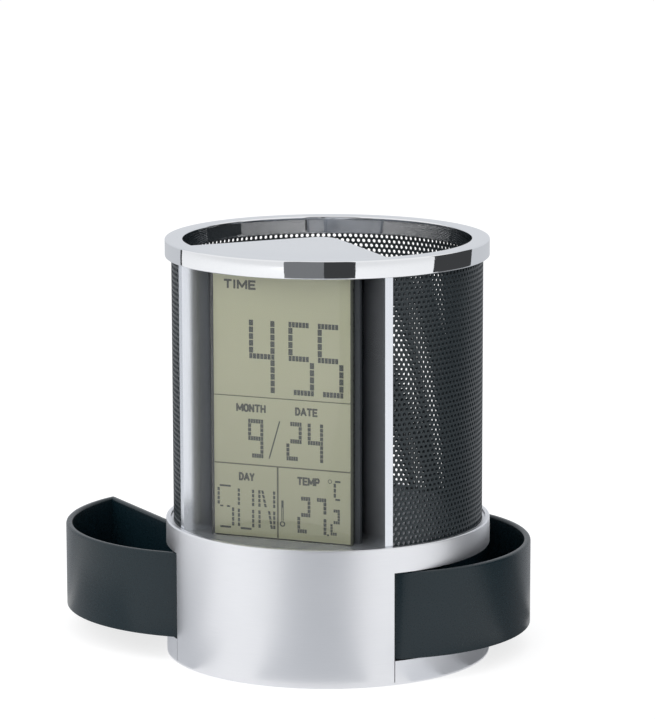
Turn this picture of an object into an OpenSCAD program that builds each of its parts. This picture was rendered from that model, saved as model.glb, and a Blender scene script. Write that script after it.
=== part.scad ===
// Pen holder clock: a perforated round pen cup with a wedge-shaped recess for a tall display,
// standing on a round base whose two segment-shaped drawers swing out on vertical pins.
// The front faces -Y, up is +Z, and the origin lies on the cup's axis at the table.

/* [Overall] */
// Height from the table to the top of the chrome ring
total_h = 125; // [118:1:135]
// Height from the table to the rim of the drawer base
base_h = 41; // [40:0.5:46]
// Outer radius of the drawer base
base_r = 48.5; // [48:0.25:52]

/* [Base] */
// How far the foot ring stands out below the base
foot_h = 0.8; // [0.5:0.1:2]
// How deep the foot ring is sunk into the tray
foot_sink = 0.6; // [0.3:0.1:1]
// Distance from the base's outer wall in to the foot ring
foot_edge = 4.5; // [3.5:0.5:6]
// Width of the foot ring
foot_w = 5; // [3:0.5:6]
// Clearance around the foot ring in the tray
foot_fit = 0.2; // [0.1:0.05:0.3]
// Thickness of the outer wall
base_wall = 1.8; // [1.4:0.1:2.2]
// Thickness of the deck
deck_t = 2; // [1.6:0.1:3]
// Height of the rim above the deck
rim_h = 0.6; // [0.4:0.1:1.5]
// Thickness of the rim
rim_wall = 1.4; // [1:0.1:1.7]
// Thickness of the tray's floor
tray_t = 2.4; // [2.2:0.1:3]
// Height of the lip under the drawers, from the table
lip_h = 7.2; // [6.4:0.1:9]
// Height of the two drawer windows
window_h = 26.2; // [23:0.2:28]
// Half angle of the front panel, in degrees
front_half = 45.3; // [42:0.1:48]
// Half angle of the rear post, in degrees
post_half = 8.5; // [8:0.1:12]
// Gap at the seams between shell and tray
seam = 0.25; // [0.15:0.05:0.5]

/* [Drawers] */
// Thickness of the drawer walls
drawer_wall = 2; // [1.4:0.1:2.6]
// Thickness of the drawer floors
drawer_floor = 1.8; // [1.2:0.1:3]
// How far the drawer faces sit inside the base's surface
drawer_set = 0.2; // [0.1:0.05:0.6]
// Gap above and below each drawer
drawer_gap = 0.3; // [0.2:0.05:0.8]
// Gap between the closed drawers and the rear post
end_gap = 0.4; // [0.3:0.05:1]
// Gap between the closed drawers and the battery bay
bay_gap = 0.4; // [0.3:0.05:1]
// Radius of the rounded end that turns about the pin
knuckle_r = 5; // [4:0.1:6]
// Gap between the rounded end and the front panel
knuckle_gap = 0.35; // [0.3:0.05:0.8]
// Radius of the steel pivot pins
pin_r = 1.5; // [1:0.1:2]
// Radial running clearance on the pins
pin_fit = 0.05; // [0.02:0.01:0.1]
// Angle that the left drawer stands open, in degrees
left_open = 60.5; // [0:0.5:68]
// Angle that the right drawer stands open, in degrees
right_open = 18; // [0:0.5:68]

/* [Cup] */
// Distance from the base's outer wall in to the perforated wall
mesh_set = 2.3; // [2.1:0.1:3.5]
// Thickness of the perforated sheet
mesh_t = 0.6; // [0.4:0.1:1]
// Number of openings round the sheet
mesh_columns = 9; // [8:1:12]
// Number of openings up the sheet
mesh_rows = 3; // [3:1:8]
// Open share of the sheet's grid, along each way
mesh_open = 0.6; // [0.4:0.05:0.75]
// Depth that the sheet's edges sit in their grooves
mesh_seat = 1.2; // [0.8:0.1:1.5]
// Clearance around the sheet in its grooves
mesh_fit = 0.1; // [0.05:0.05:0.2]
// Distance from the base's outer wall in to the top ring's outer face
ring_set = 0.4; // [0:0.1:1]
// Radial width of the top ring
ring_w = 5.3; // [4:0.1:6]
// Height of the top ring
ring_h = 5.3; // [4:0.1:7]
// Rounding of the top ring's edges
ring_round = 1; // [0.4:0.1:1.5]
// Thickness of the web that covers the recess
web_t = 2; // [1.5:0.1:3]
// Rounding of the web's rear corner
web_round = 5.6; // [3:0.2:8]

/* [Recess] */
// Half angle between the side panels, in degrees
recess_half = 43; // [41:0.5:45]
// Distance from the axis forward to where the panel faces meet
recess_apex = 0.5; // [0:0.1:1]
// Thickness of the side panels
panel_t = 1.6; // [1.2:0.1:2]
// Distance from the base's outer wall in to the panels' edge beads
bead_set = 1.6; // [1.5:0.05:1.9]
// Width of the edge beads
bead_w = 2.4; // [2.1:0.1:3]
// Depth of the edge beads
bead_d = 3; // [2.4:0.1:4]
// Depth of the tongues under the panels
tongue_h = 1.2; // [0.8:0.1:1.4]
// Clearance around the tongues
tongue_fit = 0.1; // [0.05:0.05:0.2]

/* [Display] */
// Distance from the base's front back to the lens
lens_set = 13.2; // [12.5:0.1:14]
// Gap between the lens's edges and the side panels
lens_side = 4.5; // [4:0.1:6]
// Thickness of the clear lens
lens_t = 2; // [1.5:0.1:2.5]
// Rounding of the lens's corners
lens_round = 0.3; // [0.1:0.1:0.5]
// Air gap between the lens and the display glass
lens_gap = 0.3; // [0.2:0.05:0.6]
// Thickness of the display glass
lcd_t = 2; // [1.5:0.1:2.5]
// Margin of the display glass inside the lens's outline
lcd_margin = 0.5; // [0.3:0.1:2]

/* [Clock case] */
// Gap between the case's rear edges and the side panels
case_side = 2.1; // [1.5:0.1:4]
// Depth of the case behind its flange
case_d = 9.3; // [9:0.1:9.8]
// Wall of the case
case_wall = 1.5; // [1.2:0.1:1.8]
// Height of the case's foot and head blocks
case_end = 4; // [3:0.5:6]
// Thickness of the circuit board
board_t = 1.4; // [1:0.1:1.6]
// Depth of the space between display glass and circuit board
board_gap = 4.3; // [4:0.1:4.5]
// Margin of the circuit board inside the case
board_margin = 0.4; // [0.3:0.1:1]

/* [Setting buttons] */
// Radius of the button caps
button_r = 2; // [1.6:0.1:2.2]
// How far the caps stand out of the rear post
button_out = 0.8; // [0.5:0.1:1.5]
// Travel of the buttons
button_travel = 0.6; // [0.3:0.1:0.7]
// Distance between neighbouring buttons
button_pitch = 6; // [5.8:0.1:6.2]
// Clearance around the caps
button_fit = 0.1; // [0.08:0.01:0.2]
// Width of the key board behind the buttons
key_board_w = 10.8; // [10.4:0.1:11.4]

/* [Battery bay] */
// Radius of each cell
cell_r = 5.25; // [5.1:0.05:5.4]
// Length of each cell without its tip
cell_l = 43.5; // [43:0.1:44]
// Room for the contacts at each end of the cells
contact_room = 2.4; // [2:0.1:3]
// Wall of the battery bay
bay_wall = 1.4; // [1.2:0.1:1.8]
// Clearance around the cells
cell_fit = 0.3; // [0.2:0.1:0.5]
// Distance from the axis forward to the bay's middle
bay_shift = 9; // [8:0.25:9.5]
// Thickness of the battery door
door_t = 1.4; // [1.2:0.1:1.5]
// Travel that frees the battery door
door_travel = 5; // [4:0.5:6]
// Clearance around the battery door
door_fit = 0.3; // [0.2:0.05:0.4]

/* [Screws] */
// Shank radius of the screws
screw_r = 1.45; // [1.2:0.05:1.5]
// Head radius of the screws
screw_head_r = 2.8; // [2.4:0.1:3]
// Head height of the screws
screw_head_h = 1.8; // [1.4:0.1:2]
// Clearance around shanks and heads
screw_fit = 0.1; // [0.05:0.05:0.3]

/* [Hidden] */
$fn = 96;
big = 3 * base_r;
over = 1;

// Heights of the base
tray_top = foot_h + tray_t;
window_top = lip_h + window_h;
deck_top = base_h - rim_h;
deck_low = deck_top - deck_t;
inner_r = base_r - base_wall;
seam_deg = seam / base_r * 180 / PI;
foot_r1 = base_r - foot_edge;
foot_r0 = foot_r1 - foot_w;

// Battery bay
bay_x = 2 * cell_r + 1.5 * cell_fit;
bay_y0 = -bay_shift - cell_l / 2 - contact_room;
bay_y1 = -bay_shift + cell_l / 2 + contact_room;
cell_z = foot_h + door_t + 2 * cell_fit + cell_r;
bay_roof = cell_z + cell_r + cell_fit;
cell_x = cell_r + cell_fit / 2;
door_x = bay_x + bay_wall - door_fit;
door_y0 = bay_y0 - bay_wall;
door_y1 = bay_y1 + bay_wall;
tab_l = 8;
tab_out = 0.8;
tab_t = 0.7;
tab_places = [bay_y0 + tab_l, bay_y1 - 2 * tab_l];
contact_t = 0.4;

// Drawer plan: the pivot lies so that the rounded end clears the front panel's inner edge, and
// the straight wall runs from the rear corner past the battery bay
drawer_r = base_r - drawer_set;
drawer_low = lip_h + drawer_gap;
drawer_top = window_top - drawer_gap;
drawer_h = drawer_top - drawer_low;
knuckle_step = 0.05;
pivot_r = drawer_r - knuckle_r + knuckle_step;
panel_reach = knuckle_r + knuckle_gap;
pivot_lead = acos((pivot_r ^ 2 + inner_r ^ 2 - panel_reach ^ 2) / (2 * pivot_r * inner_r));
pivot_a = front_half + pivot_lead;
drawer_end = 180 - post_half - end_gap / base_r * 180 / PI;
pivot = polar(pivot_r, pivot_a);
drawer_tip = polar(drawer_r, drawer_end);
tip_reach = norm(drawer_tip - pivot);
bay_pass = [bay_x + bay_wall + bay_gap, bay_y1 + bay_wall];
chord_turn = heading(bay_pass, drawer_tip);
chord_lean = heading(pivot, drawer_tip) - chord_turn;
chord_out = tip_reach * sin(chord_lean);
tip_run = tip_reach * cos(chord_lean);
pin_low = foot_h + tray_t / 2;
pin_top = deck_low + deck_t / 2;

// Cup and ring
mesh_r = base_r - mesh_set;
ring_r = base_r - ring_set;
bead_r = base_r - bead_set;
mesh_in = mesh_r - mesh_t;
ring_in = ring_r - ring_w;
ring_low = total_h - ring_h;
web_low = total_h - web_t;
mesh_low = deck_top - mesh_seat;
mesh_top = ring_low + mesh_seat;

// Side panels: their faces run from the apex out to the beads
bead_out = sqrt(bead_r ^ 2 - (recess_apex * sin(recess_half)) ^ 2) - recess_apex * cos(recess_half);
bead_angle = atan2(bead_out * sin(recess_half) + bead_w * cos(recess_half),
                   recess_apex + bead_out * cos(recess_half) - bead_w * sin(recess_half));
mesh_start = bead_angle - mesh_seat / mesh_r * 180 / PI;
grid_a = (360 - 2 * bead_angle) / mesh_columns;
grid_h = (ring_low - deck_top) / mesh_rows;
tongue_from = bead_out * 0.3;
tongue_to = bead_out * 0.8;

// Display stack, from the lens back to the case
lens_low = deck_top;
lens_top = web_low;
lens_y = base_r - lens_set;
lens_back = lens_y - lens_t;
lcd_front = lens_back - lens_gap;
flange_front = lcd_front - lcd_t;
flange_back = flange_front - case_wall;
case_back = flange_back - case_d;
lens_w = 2 * ((flange_back - recess_apex) * tan(recess_half) - lens_side);
lcd_w = lens_w - 2 * lcd_margin;
case_w = 2 * ((case_back - recess_apex) * tan(recess_half) - case_side);
board_front = flange_front - board_gap;
board_back = board_front - board_t;
board_low = deck_top + case_end + board_margin;
board_top = web_low - case_end - board_margin;
board_w = case_w - 2 * case_wall - 2 * board_margin;
post_x = board_w / 2 - 3;
lead_y = board_back - 1.6;
case_screw_x = case_w / 2 - 4.5;
lead_hole_r = 2.6;
lead_straight = 4;
lead_tail = 2;
post_in = 6;

// Screws and their bosses
boss_r = screw_r + 2;
boss_gap = 4;
boss_a = 35;
boss_at = foot_r0 - screw_head_r - foot_fit - 1.6;
screw_step = foot_h + 0.6 + screw_head_h;
boss_foot = screw_step + 2;
base_screw_l = 14;

// Setting buttons on the rear post, counted upwards
button_z0 = (lip_h + window_top) / 2 - 1.5 * button_pitch;
flange_t = 0.8;
button_back = inner_r - 0.3 - flange_t;
switch_top = button_back - button_travel - 0.2;
switch_h = 2.4;
key_board_t = 1.2;
key_face = switch_top - switch_h;
key_low = button_z0 - button_pitch / 2;
key_top = button_z0 + 3.5 * button_pitch;
rail_w = 1.7;
rail_sink = 0.6;
rail_x = key_board_w / 2 - rail_sink + mesh_fit;
rail_back = key_face - key_board_t - 1;
shell_screws = [polar(boss_at, boss_a), polar(boss_at, -boss_a), [0, rail_back - boss_r - boss_gap]];

silver = [0.78, 0.79, 0.81];
chrome = [0.88, 0.89, 0.9];
black = [0.13, 0.14, 0.15];
steel = [0.62, 0.63, 0.65];

// A point in plan at radius r, with the angle counted from the front towards +X
function polar(r, a) = [r * sin(a), -r * cos(a)];

// Direction from one point in plan to another
function heading(a, b) = atan2(b[1] - a[1], b[0] - a[0]);

// A ring sector between two angles counted from the front towards +X
module sector(r0, r1, z0, z1, a0, a1) {
    rotate([0, 0, a0 - 90])
        rotate_extrude(angle = a1 - a0)
            translate([r0, z0])
                square([r1 - r0, z1 - z0]);
}

// A full ring
module ring(r0, r1, z0, z1) {
    rotate_extrude()
        translate([r0, z0])
            square([r1 - r0, z1 - z0]);
}

// A box given by its two corners
module span(low, high) {
    translate(low)
        cube(high - low);
}

// A cylinder along Y between two places
module y_rod(x, z, r, y0, y1) {
    translate([x, y0, z])
        rotate([-90, 0, 0])
            cylinder(r = r, h = y1 - y0);
}

// An upright cylinder between two heights
module z_rod(at, r, z0, z1) {
    translate([at[0], at[1], z0])
        cylinder(r = r, h = z1 - z0);
}

// Both windows' worth of something made for the right-hand side
module both_sides() {
    children();
    mirror([1, 0, 0])
        children();
}

// A rounded rectangle section with its lower left corner at the origin
module round_rect(w, h, r) {
    translate([r, 0])
        square([w - 2 * r, h]);
    translate([0, r])
        square([w, h - 2 * r]);
    for (x = [r, w - r], y = [r, h - r])
        translate([x, y])
            circle(r = r, $fn = 48);
}

// Points along a cubic curve with four control points
function mix(a, b, t) = (1 - t) * a + t * b;
function arc(a, b, c, t) = mix(mix(a, b, t), mix(b, c, t), t);
function cubic(p, t) = mix(arc(p[0], p[1], p[2], t), arc(p[1], p[2], p[3], t), t);
function curve(p, steps) = [for (i = [0:steps]) cubic(p, i / steps)];
function unit(v) = v / norm(v);

// A round wire along a list of points whose ends lie apart in plan
module wire(path, r, sides) {
    last = len(path) - 1;
    reach = path[last] - path[0];
    across = unit([reach[1], -reach[0], 0]);
    points = [for (i = [0:last], k = [0:sides - 1])
        let (along = unit(path[min(i + 1, last)] - path[max(i - 1, 0)]),
             up = unit(cross(across, along)),
             side = cross(along, up),
             a = 360 * k / sides)
        path[i] + r * (cos(a) * side + sin(a) * up)];
    walls = [for (i = [0:last - 1], k = [0:sides - 1])
        let (n = (k + 1) % sides, a = i * sides)
        [a + k, a + n, a + sides + n, a + sides + k]];
    ends = [[for (k = [0:sides - 1]) sides - 1 - k], [for (k = [0:sides - 1]) last * sides + k]];
    polyhedron(points, concat(walls, ends));
}

// Base

module foot_ring() {
    color(black)
        ring(foot_r0, foot_r1, 0, foot_h + foot_sink);
}

// Floor with the silver lips below the drawers, the pin sockets and the battery bay
module base_tray() {
    color(silver)
        difference() {
            union() {
                z_rod([0, 0], inner_r - seam, foot_h, tray_top);
                both_sides()
                    tray_side();
                for (s = shell_screws)
                    z_rod(s, boss_r + 1.2, tray_top - 0.1, boss_foot);
                span([-bay_x - bay_wall, bay_y0 - bay_wall, foot_h],
                     [bay_x + bay_wall, bay_y1 + bay_wall, bay_roof + bay_wall]);
            }
            ring(foot_r0 - foot_fit, foot_r1 + foot_fit, 0, foot_h + foot_sink);
            both_sides()
                z_rod(pivot, pin_r + pin_fit, pin_low, lip_h + over);
            for (s = shell_screws) {
                z_rod(s, screw_head_r + screw_fit + 0.2, 0, screw_step);
                z_rod(s, screw_r + screw_fit, 0, boss_foot + over);
            }
            span([-bay_x, bay_y0, 0], [bay_x, bay_y1, bay_roof]);
            for (x = [-cell_x, cell_x])
                span([x - 1.6, bay_y0 - 0.1, bay_roof - over],
                     [x + 1.6, bay_y0 + 1, bay_roof + bay_wall + over]);
            door_recess();
        }
}

// One lip with the rib that its drawer glides on and the socket of its pin
module tray_side() {
    a0 = front_half + seam_deg;
    a1 = 180 - post_half - seam_deg;
    sector(inner_r - over, base_r, foot_h, tray_top, a0, a1);
    sector(inner_r, base_r, foot_h, lip_h, a0, a1);
    sector(foot_r0 - 3, foot_r0 - 1.6, tray_top - 0.1, lip_h, pivot_a + 12, a1 - 10);
    z_rod(pivot, knuckle_r - 0.8, tray_top - 0.1, lip_h);
}

// Recess for the sliding door, with pockets that its tabs slide under
module door_recess() {
    x = door_x + door_fit;
    pocket_x = door_x + tab_out + door_fit;
    top = foot_h + door_t + 0.1;
    reach = door_fit + door_travel;
    span([-x, door_y0 - door_fit, 0], [x, door_y1 + reach, top]);
    both_sides()
        for (y = tab_places) {
            span([door_x, y - door_fit, foot_h + 0.4], [pocket_x, y + tab_l + reach, top]);
            span([door_x, y + door_travel - door_fit, 0], [pocket_x, y + tab_l + reach, top]);
        }
}

// Deck with its rim and band, the front panel, the rear post and the bosses below the deck
module base_shell() {
    color(silver)
        difference() {
            union() {
                difference() {
                    rotate_extrude()
                        shell_section();
                    both_sides()
                        sector(inner_r - over, base_r + over, 0, window_top, front_half, 180 - post_half);
                }
                both_sides() {
                    z_rod(pivot, knuckle_r - 0.8, drawer_top + drawer_gap, deck_top - 0.1);
                    span([rail_x, rail_back, key_low - 1], [rail_x + rail_w, inner_r - 0.2, deck_top - 0.1]);
                }
                for (s = shell_screws)
                    z_rod(s, boss_r, boss_foot, deck_top - 0.1);
            }
            both_sides() {
                z_rod(pivot, pin_r + pin_fit, window_top - over, pin_top);
                panel_tongue(tongue_fit);
                z_rod([case_screw_x, -lead_y], screw_r + screw_fit, deck_low - over, deck_top + over);
                span([rail_x - over, key_face - key_board_t - mesh_fit, key_low - mesh_fit],
                     [key_board_w / 2 + mesh_fit, key_face + mesh_fit, key_top + mesh_fit]);
            }
            sector(mesh_in - mesh_fit, mesh_r + mesh_fit, mesh_low, deck_top + over,
                   mesh_start - 1, 361 - mesh_start);
            for (s = shell_screws)
                z_rod(s, screw_r + 0.05, boss_foot - over, screw_step + base_screw_l + 1);
            z_rod([0, -lead_y], lead_hole_r, deck_low - over, deck_top + over);
            for (i = [0:3])
                y_rod(0, button_z0 + i * button_pitch, button_r + button_fit, inner_r - over, base_r + over);
        }
}

// Half section of wall, deck and rim, with the rim's outer edge rounded
module shell_section() {
    edge = min(0.5, rim_wall / 3);
    round_edge = [for (a = [0:15:90]) [base_r - edge + edge * cos(a), base_h - edge + edge * sin(a)]];
    polygon(concat([[0, deck_low], [inner_r, deck_low], [inner_r, foot_h], [base_r, foot_h]], round_edge,
                   [[base_r - rim_wall, base_h], [base_r - rim_wall, deck_top], [0, deck_top]]));
}

module base_screws() {
    color(steel)
        for (s = shell_screws)
            pan_screw([s[0], s[1], screw_step], base_screw_l);
}

// A screw pointing up, with the underside of its head at the given place and a cross recess
module pan_screw(at, l) {
    translate(at)
        difference() {
            union() {
                cylinder(r = screw_r, h = l);
                translate([0, 0, -screw_head_h])
                    cylinder(r = screw_head_r, h = screw_head_h);
            }
            for (a = [0, 90])
                rotate([0, 0, a])
                    translate([-screw_head_r * 0.6, -0.35, -screw_head_h - over])
                        cube([screw_head_r * 1.2, 0.7, over + 1]);
        }
}

// Drawers

module drawer_pins() {
    color(steel)
        both_sides()
            z_rod(pivot, pin_r, pin_low, pin_top);
}

// Places what is drawn along a closed right-hand drawer's straight wall: x from the pin
// towards the rear corner, y towards the cup's axis
module along_chord() {
    translate([pivot[0], pivot[1], 0])
        rotate([0, 0, chord_turn])
            children();
}

// Plan within an outer arc, the straight wall and the front wall, each moved in by a distance
module drawer_field(in) {
    intersection() {
        circle(r = drawer_r - in);
        rotate(pivot_a - 90)
            translate([-big, in])
                square([2 * big, big]);
        along_chord()
            translate([-big, chord_out - in - big])
                square([2 * big, big]);
    }
}

// Plan of a closed right-hand drawer with the rounded end that turns about the pin
module drawer_plan() {
    drawer_field(0);
    translate(pivot)
        circle(r = knuckle_r);
}

// Plan of the space inside a closed right-hand drawer
module drawer_room() {
    difference() {
        drawer_field(drawer_wall);
        translate(pivot)
            circle(r = knuckle_r);
    }
}

// Section that takes the edge off a wall whose outer top corner lies at the origin
module bevel_section() {
    c = drawer_wall * 0.35;
    polygon([[-c - over, over], [over, -c - over], [over, over]]);
}

// A closed right-hand drawer
module drawer() {
    difference() {
        translate([0, 0, drawer_low])
            linear_extrude(drawer_h)
                drawer_plan();
        translate([0, 0, drawer_low + drawer_floor])
            linear_extrude(drawer_h)
                drawer_room();
        rotate([0, 0, pivot_a - 90])
            rotate_extrude(angle = drawer_end + 5 - pivot_a)
                translate([drawer_r, drawer_top])
                    bevel_section();
        along_chord()
            translate([0, chord_out, drawer_top])
                rotate([90, 0, 90])
                    linear_extrude(tip_run + 2 * over)
                        bevel_section();
        z_rod(pivot, pin_r + pin_fit, drawer_low - over, drawer_top + over);
    }
}

// A right-hand drawer turned out about its pin
module open_drawer(angle) {
    translate(pivot)
        rotate([0, 0, -angle])
            translate(-pivot)
                drawer();
}

module left_drawer() {
    color(black)
        mirror([1, 0, 0])
            open_drawer(left_open);
}

module right_drawer() {
    color(black)
        open_drawer(right_open);
}

// Cup

// Curved sheet with a plain grid of openings
module mesh_wall() {
    color(black)
        difference() {
            sector(mesh_in, mesh_r, mesh_low, mesh_top, mesh_start, 360 - mesh_start);
            for (i = [0:mesh_columns - 1], k = [0:mesh_rows - 1])
                sheet_opening(i, k);
        }
}

// The opening in one column and row of the sheet's grid
module sheet_opening(i, k) {
    a = bead_angle + (i + 0.5) * grid_a;
    z = deck_top + (k + 0.5) * grid_h;
    half_a = grid_a * mesh_open / 2;
    half_h = grid_h * mesh_open / 2;
    sector(mesh_in - over, mesh_r + over, z - half_h, z + half_h, a - half_a, a + half_a);
}

// Chrome ring with the flush web that covers the recess
module top_ring() {
    color(chrome)
        difference() {
            union() {
                rotate_extrude()
                    translate([ring_in, ring_low])
                        round_rect(ring_w, ring_h, ring_round);
                translate([0, 0, web_low])
                    linear_extrude(web_t)
                        intersection() {
                            circle(r = ring_in + ring_w / 2);
                            web_plan();
                        }
            }
            ring(mesh_in - mesh_fit, mesh_r + mesh_fit, ring_low - over, mesh_top);
        }
}

// Plan of the web: the wedge between the backs of the side panels, with its rear corner rounded
module web_plan() {
    tip = (panel_t + 0.3) / sin(recess_half) - recess_apex;
    middle = tip - web_round / sin(recess_half);
    turn = 90 - recess_half;
    round_tip = [for (a = [-turn:turn / 6:turn]) [web_round * sin(a), middle + web_round * cos(a)]];
    polygon(concat(round_tip, [[big * sin(recess_half), tip - big * cos(recess_half)],
                               [-big * sin(recess_half), tip - big * cos(recess_half)]]));
}

// Recess

// Places what is drawn along a right-hand side panel: x out from the apex, y towards the cup
module along_panel() {
    translate([0, -recess_apex])
        rotate(recess_half - 90)
            children();
}

// Plan of a right-hand panel with its edge bead
module panel_plan() {
    intersection() {
        union() {
            along_panel() {
                translate([-over, 0])
                    square([bead_out + 2 * over, panel_t]);
                translate([bead_out - bead_d, 0])
                    square([bead_d + 2 * over, bead_w]);
            }
        }
        circle(r = bead_r);
        translate([0, -big])
            square([big, 2 * big]);
    }
}

// Tongue under a right-hand panel, or its slot with a clearance
module panel_tongue(fit) {
    translate([0, 0, deck_top - tongue_h - fit])
        linear_extrude(tongue_h + fit + over)
            along_panel()
                translate([tongue_from - fit, panel_t * 0.2 - fit])
                    square([tongue_to - tongue_from + 2 * fit, panel_t * 0.6 + 2 * fit]);
}

module side_panel() {
    difference() {
        union() {
            translate([0, 0, deck_top])
                linear_extrude(web_low - deck_top)
                    panel_plan();
            panel_tongue(0);
        }
        ring(ring_in - tongue_fit, ring_r + over, ring_low, total_h);
        sector(mesh_in - mesh_fit, mesh_r + mesh_fit, deck_top - over, total_h, mesh_start - 0.15, 180);
    }
}

module left_side_panel() {
    color(chrome)
        mirror([1, 0, 0])
            side_panel();
}

module right_side_panel() {
    color(chrome)
        side_panel();
}

// Display and clock

module display_lens() {
    color([0.8, 0.85, 0.82, 0.4])
        translate([0, -lens_back, 0])
            rotate([90, 0, 0])
                linear_extrude(lens_t)
                    translate([-lens_w / 2, lens_low])
                        round_rect(lens_w, lens_top - lens_low, lens_round);
}

// Two bonded glass plates, of which the rear one carries the contact edges
module display_glass() {
    ledge = 0.8;
    color([0.62, 0.64, 0.53]) {
        span([-lcd_w / 2, -lcd_front, lens_low + lcd_margin + ledge],
             [lcd_w / 2, -lcd_front + lcd_t / 2, lens_top - lcd_margin - ledge]);
        span([-lcd_w / 2, -lcd_front + lcd_t / 2, lens_low + lcd_margin],
             [lcd_w / 2, -flange_front, lens_top - lcd_margin]);
    }
}

// Contact strips pressed between the glass and the circuit board
module rubber_connectors() {
    strip = 2.2;
    color([0.85, 0.55, 0.6])
        for (z = [board_low + 1.5, board_top - 1.5 - strip])
            span([-board_w / 2 + 2, -flange_front, z], [board_w / 2 - 2, -board_front, z + strip]);
}

// Black case: a flange behind the display and a closed box around the circuit board
module clock_case() {
    color(black)
        difference() {
            union() {
                span([-lens_w / 2, -flange_front, lens_low], [lens_w / 2, -flange_back, lens_top]);
                span([-case_w / 2, -flange_back - 0.1, lens_low], [case_w / 2, -case_back, lens_top]);
            }
            difference() {
                span([-case_w / 2 + case_wall, -flange_front - over, lens_low + case_end],
                     [case_w / 2 - case_wall, -case_back - case_wall, lens_top - case_end]);
                for (x = [-post_x, post_x], z = [board_low + post_in, board_top - post_in])
                    y_rod(x, z, 2.2, -board_back, -case_back);
            }
            for (x = [-post_x, post_x], z = [board_low + post_in, board_top - post_in])
                y_rod(x, z, 0.8, -board_back - over, -board_back + 2);
            both_sides()
                z_rod([case_screw_x, -lead_y], screw_r + 0.05, lens_low - over, lens_low + case_end + over);
            z_rod([0, -lead_y], lead_hole_r, lens_low - over, lens_low + case_end + over);
        }
}

module circuit_board() {
    color([0.1, 0.36, 0.2])
        difference() {
            span([-board_w / 2, -board_front, board_low], [board_w / 2, -board_back, board_top]);
            for (x = [-post_x, post_x], z = [board_low + post_in, board_top - post_in])
                y_rod(x, z, 0.9, -board_front - over, -board_back + over);
        }
}

module board_screws() {
    color(steel)
        for (x = [-post_x, post_x], z = [board_low + post_in, board_top - post_in]) {
            y_rod(x, z, 1.6, -board_front - 1, -board_front);
            y_rod(x, z, 0.75, -board_front - 0.1, -board_back + 1.8);
        }
}

// Resin dome over the bonded chip
module control_chip() {
    dome_r = 5;
    dome_h = 1.4;
    ball_r = (dome_r ^ 2 + dome_h ^ 2) / (2 * dome_h);
    color([0.06, 0.06, 0.06])
        translate([0, -board_back, (board_low + board_top) / 2])
            rotate([-90, 0, 0])
                intersection() {
                    translate([0, 0, dome_h - ball_r])
                        sphere(r = ball_r);
                    cylinder(r = dome_r + over, h = dome_h);
                }
}

module quartz_crystal() {
    can_r = 1;
    color(steel)
        translate([-3, -board_back + can_r, (board_low + board_top) / 2 - 12])
            rotate([0, 90, 0])
                cylinder(r = can_r, h = 6);
}

// Brass disc with its ceramic layer, fixed to the case's rear wall
module buzzer_disc() {
    inside = -case_back - case_wall;
    brass_r = 7;
    layer_r = 5;
    z = (board_low + 3 * board_top) / 4;
    color([0.78, 0.62, 0.25]) {
        y_rod(0, z, brass_r, inside - 0.5, inside);
        y_rod(0, z, layer_r, inside - 0.9, inside - 0.4);
    }
}

module temperature_sensor() {
    bead_size = 1.2;
    color([0.7, 0.3, 0.15])
        translate([board_w / 4, -board_back + bead_size, board_low + 2 * post_in])
            rotate_extrude() {
                square([bead_size, 3]);
                translate([0, 3])
                    intersection() {
                        circle(r = bead_size);
                        square(2 * bead_size);
                    }
            }
}

module case_screws() {
    color(steel)
        both_sides()
            pan_screw([case_screw_x, -lead_y, deck_low], deck_t + case_end - 0.5);
}

// Setting buttons

// A cap with its retaining flange and the stem that reaches into its switch
module button(i) {
    z = button_z0 + i * button_pitch;
    dome = 0.3;
    color(black) {
        y_rod(0, z, button_r, button_back + flange_t - 0.1, base_r + button_out - dome);
        y_rod(0, z, button_r - dome, base_r + button_out - dome - 0.1, base_r + button_out);
        y_rod(0, z, min(button_r + 0.7, button_pitch / 2 - 0.15), button_back, button_back + flange_t);
        y_rod(0, z, 1.1, switch_top - 0.3, button_back + 0.1);
    }
}

module mode_button() {
    button(3);
}

module set_button() {
    button(2);
}

module up_button() {
    button(1);
}

module down_button() {
    button(0);
}

module key_board() {
    color([0.1, 0.36, 0.2])
        span([-key_board_w / 2, key_face - key_board_t, key_low], [key_board_w / 2, key_face, key_top]);
}

module key_switches() {
    size = 4.4;
    well = button_travel + 0.7;
    color(steel)
        for (i = [0:3])
            difference() {
                translate([-size / 2, key_face, button_z0 + i * button_pitch - size / 2])
                    cube([size, switch_h, size]);
                y_rod(0, button_z0 + i * button_pitch, 1.3, switch_top - well, switch_top + over);
            }
}

// Battery bay

// Sliding door with side tabs and finger ribs
module battery_door() {
    color(silver)
        difference() {
            union() {
                span([-door_x, door_y0, foot_h], [door_x, door_y1, foot_h + door_t]);
                both_sides()
                    for (y = tab_places)
                        span([door_x - 0.1, y, foot_h + door_t - tab_t - 0.1],
                             [door_x + tab_out - 0.1, y + tab_l, foot_h + door_t - 0.1]);
            }
            for (i = [0:4])
                span([-door_x * 0.6, door_y1 - 4 - 1.6 * i, 0],
                     [door_x * 0.6, door_y1 - 3.2 - 1.6 * i, foot_h + 0.5]);
        }
}

// Two cells, head to tail, each with its raised tip
module batteries() {
    tip = 1;
    color([0.3, 0.32, 0.34])
        for (s = [-1, 1])
            translate([s * cell_x, -bay_shift, cell_z])
                rotate([-s * 90, 0, 0]) {
                    translate([0, 0, -cell_l / 2])
                        cylinder(r = cell_r, h = cell_l);
                    cylinder(r = 1.9, h = cell_l / 2 + tip);
                }
}

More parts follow.
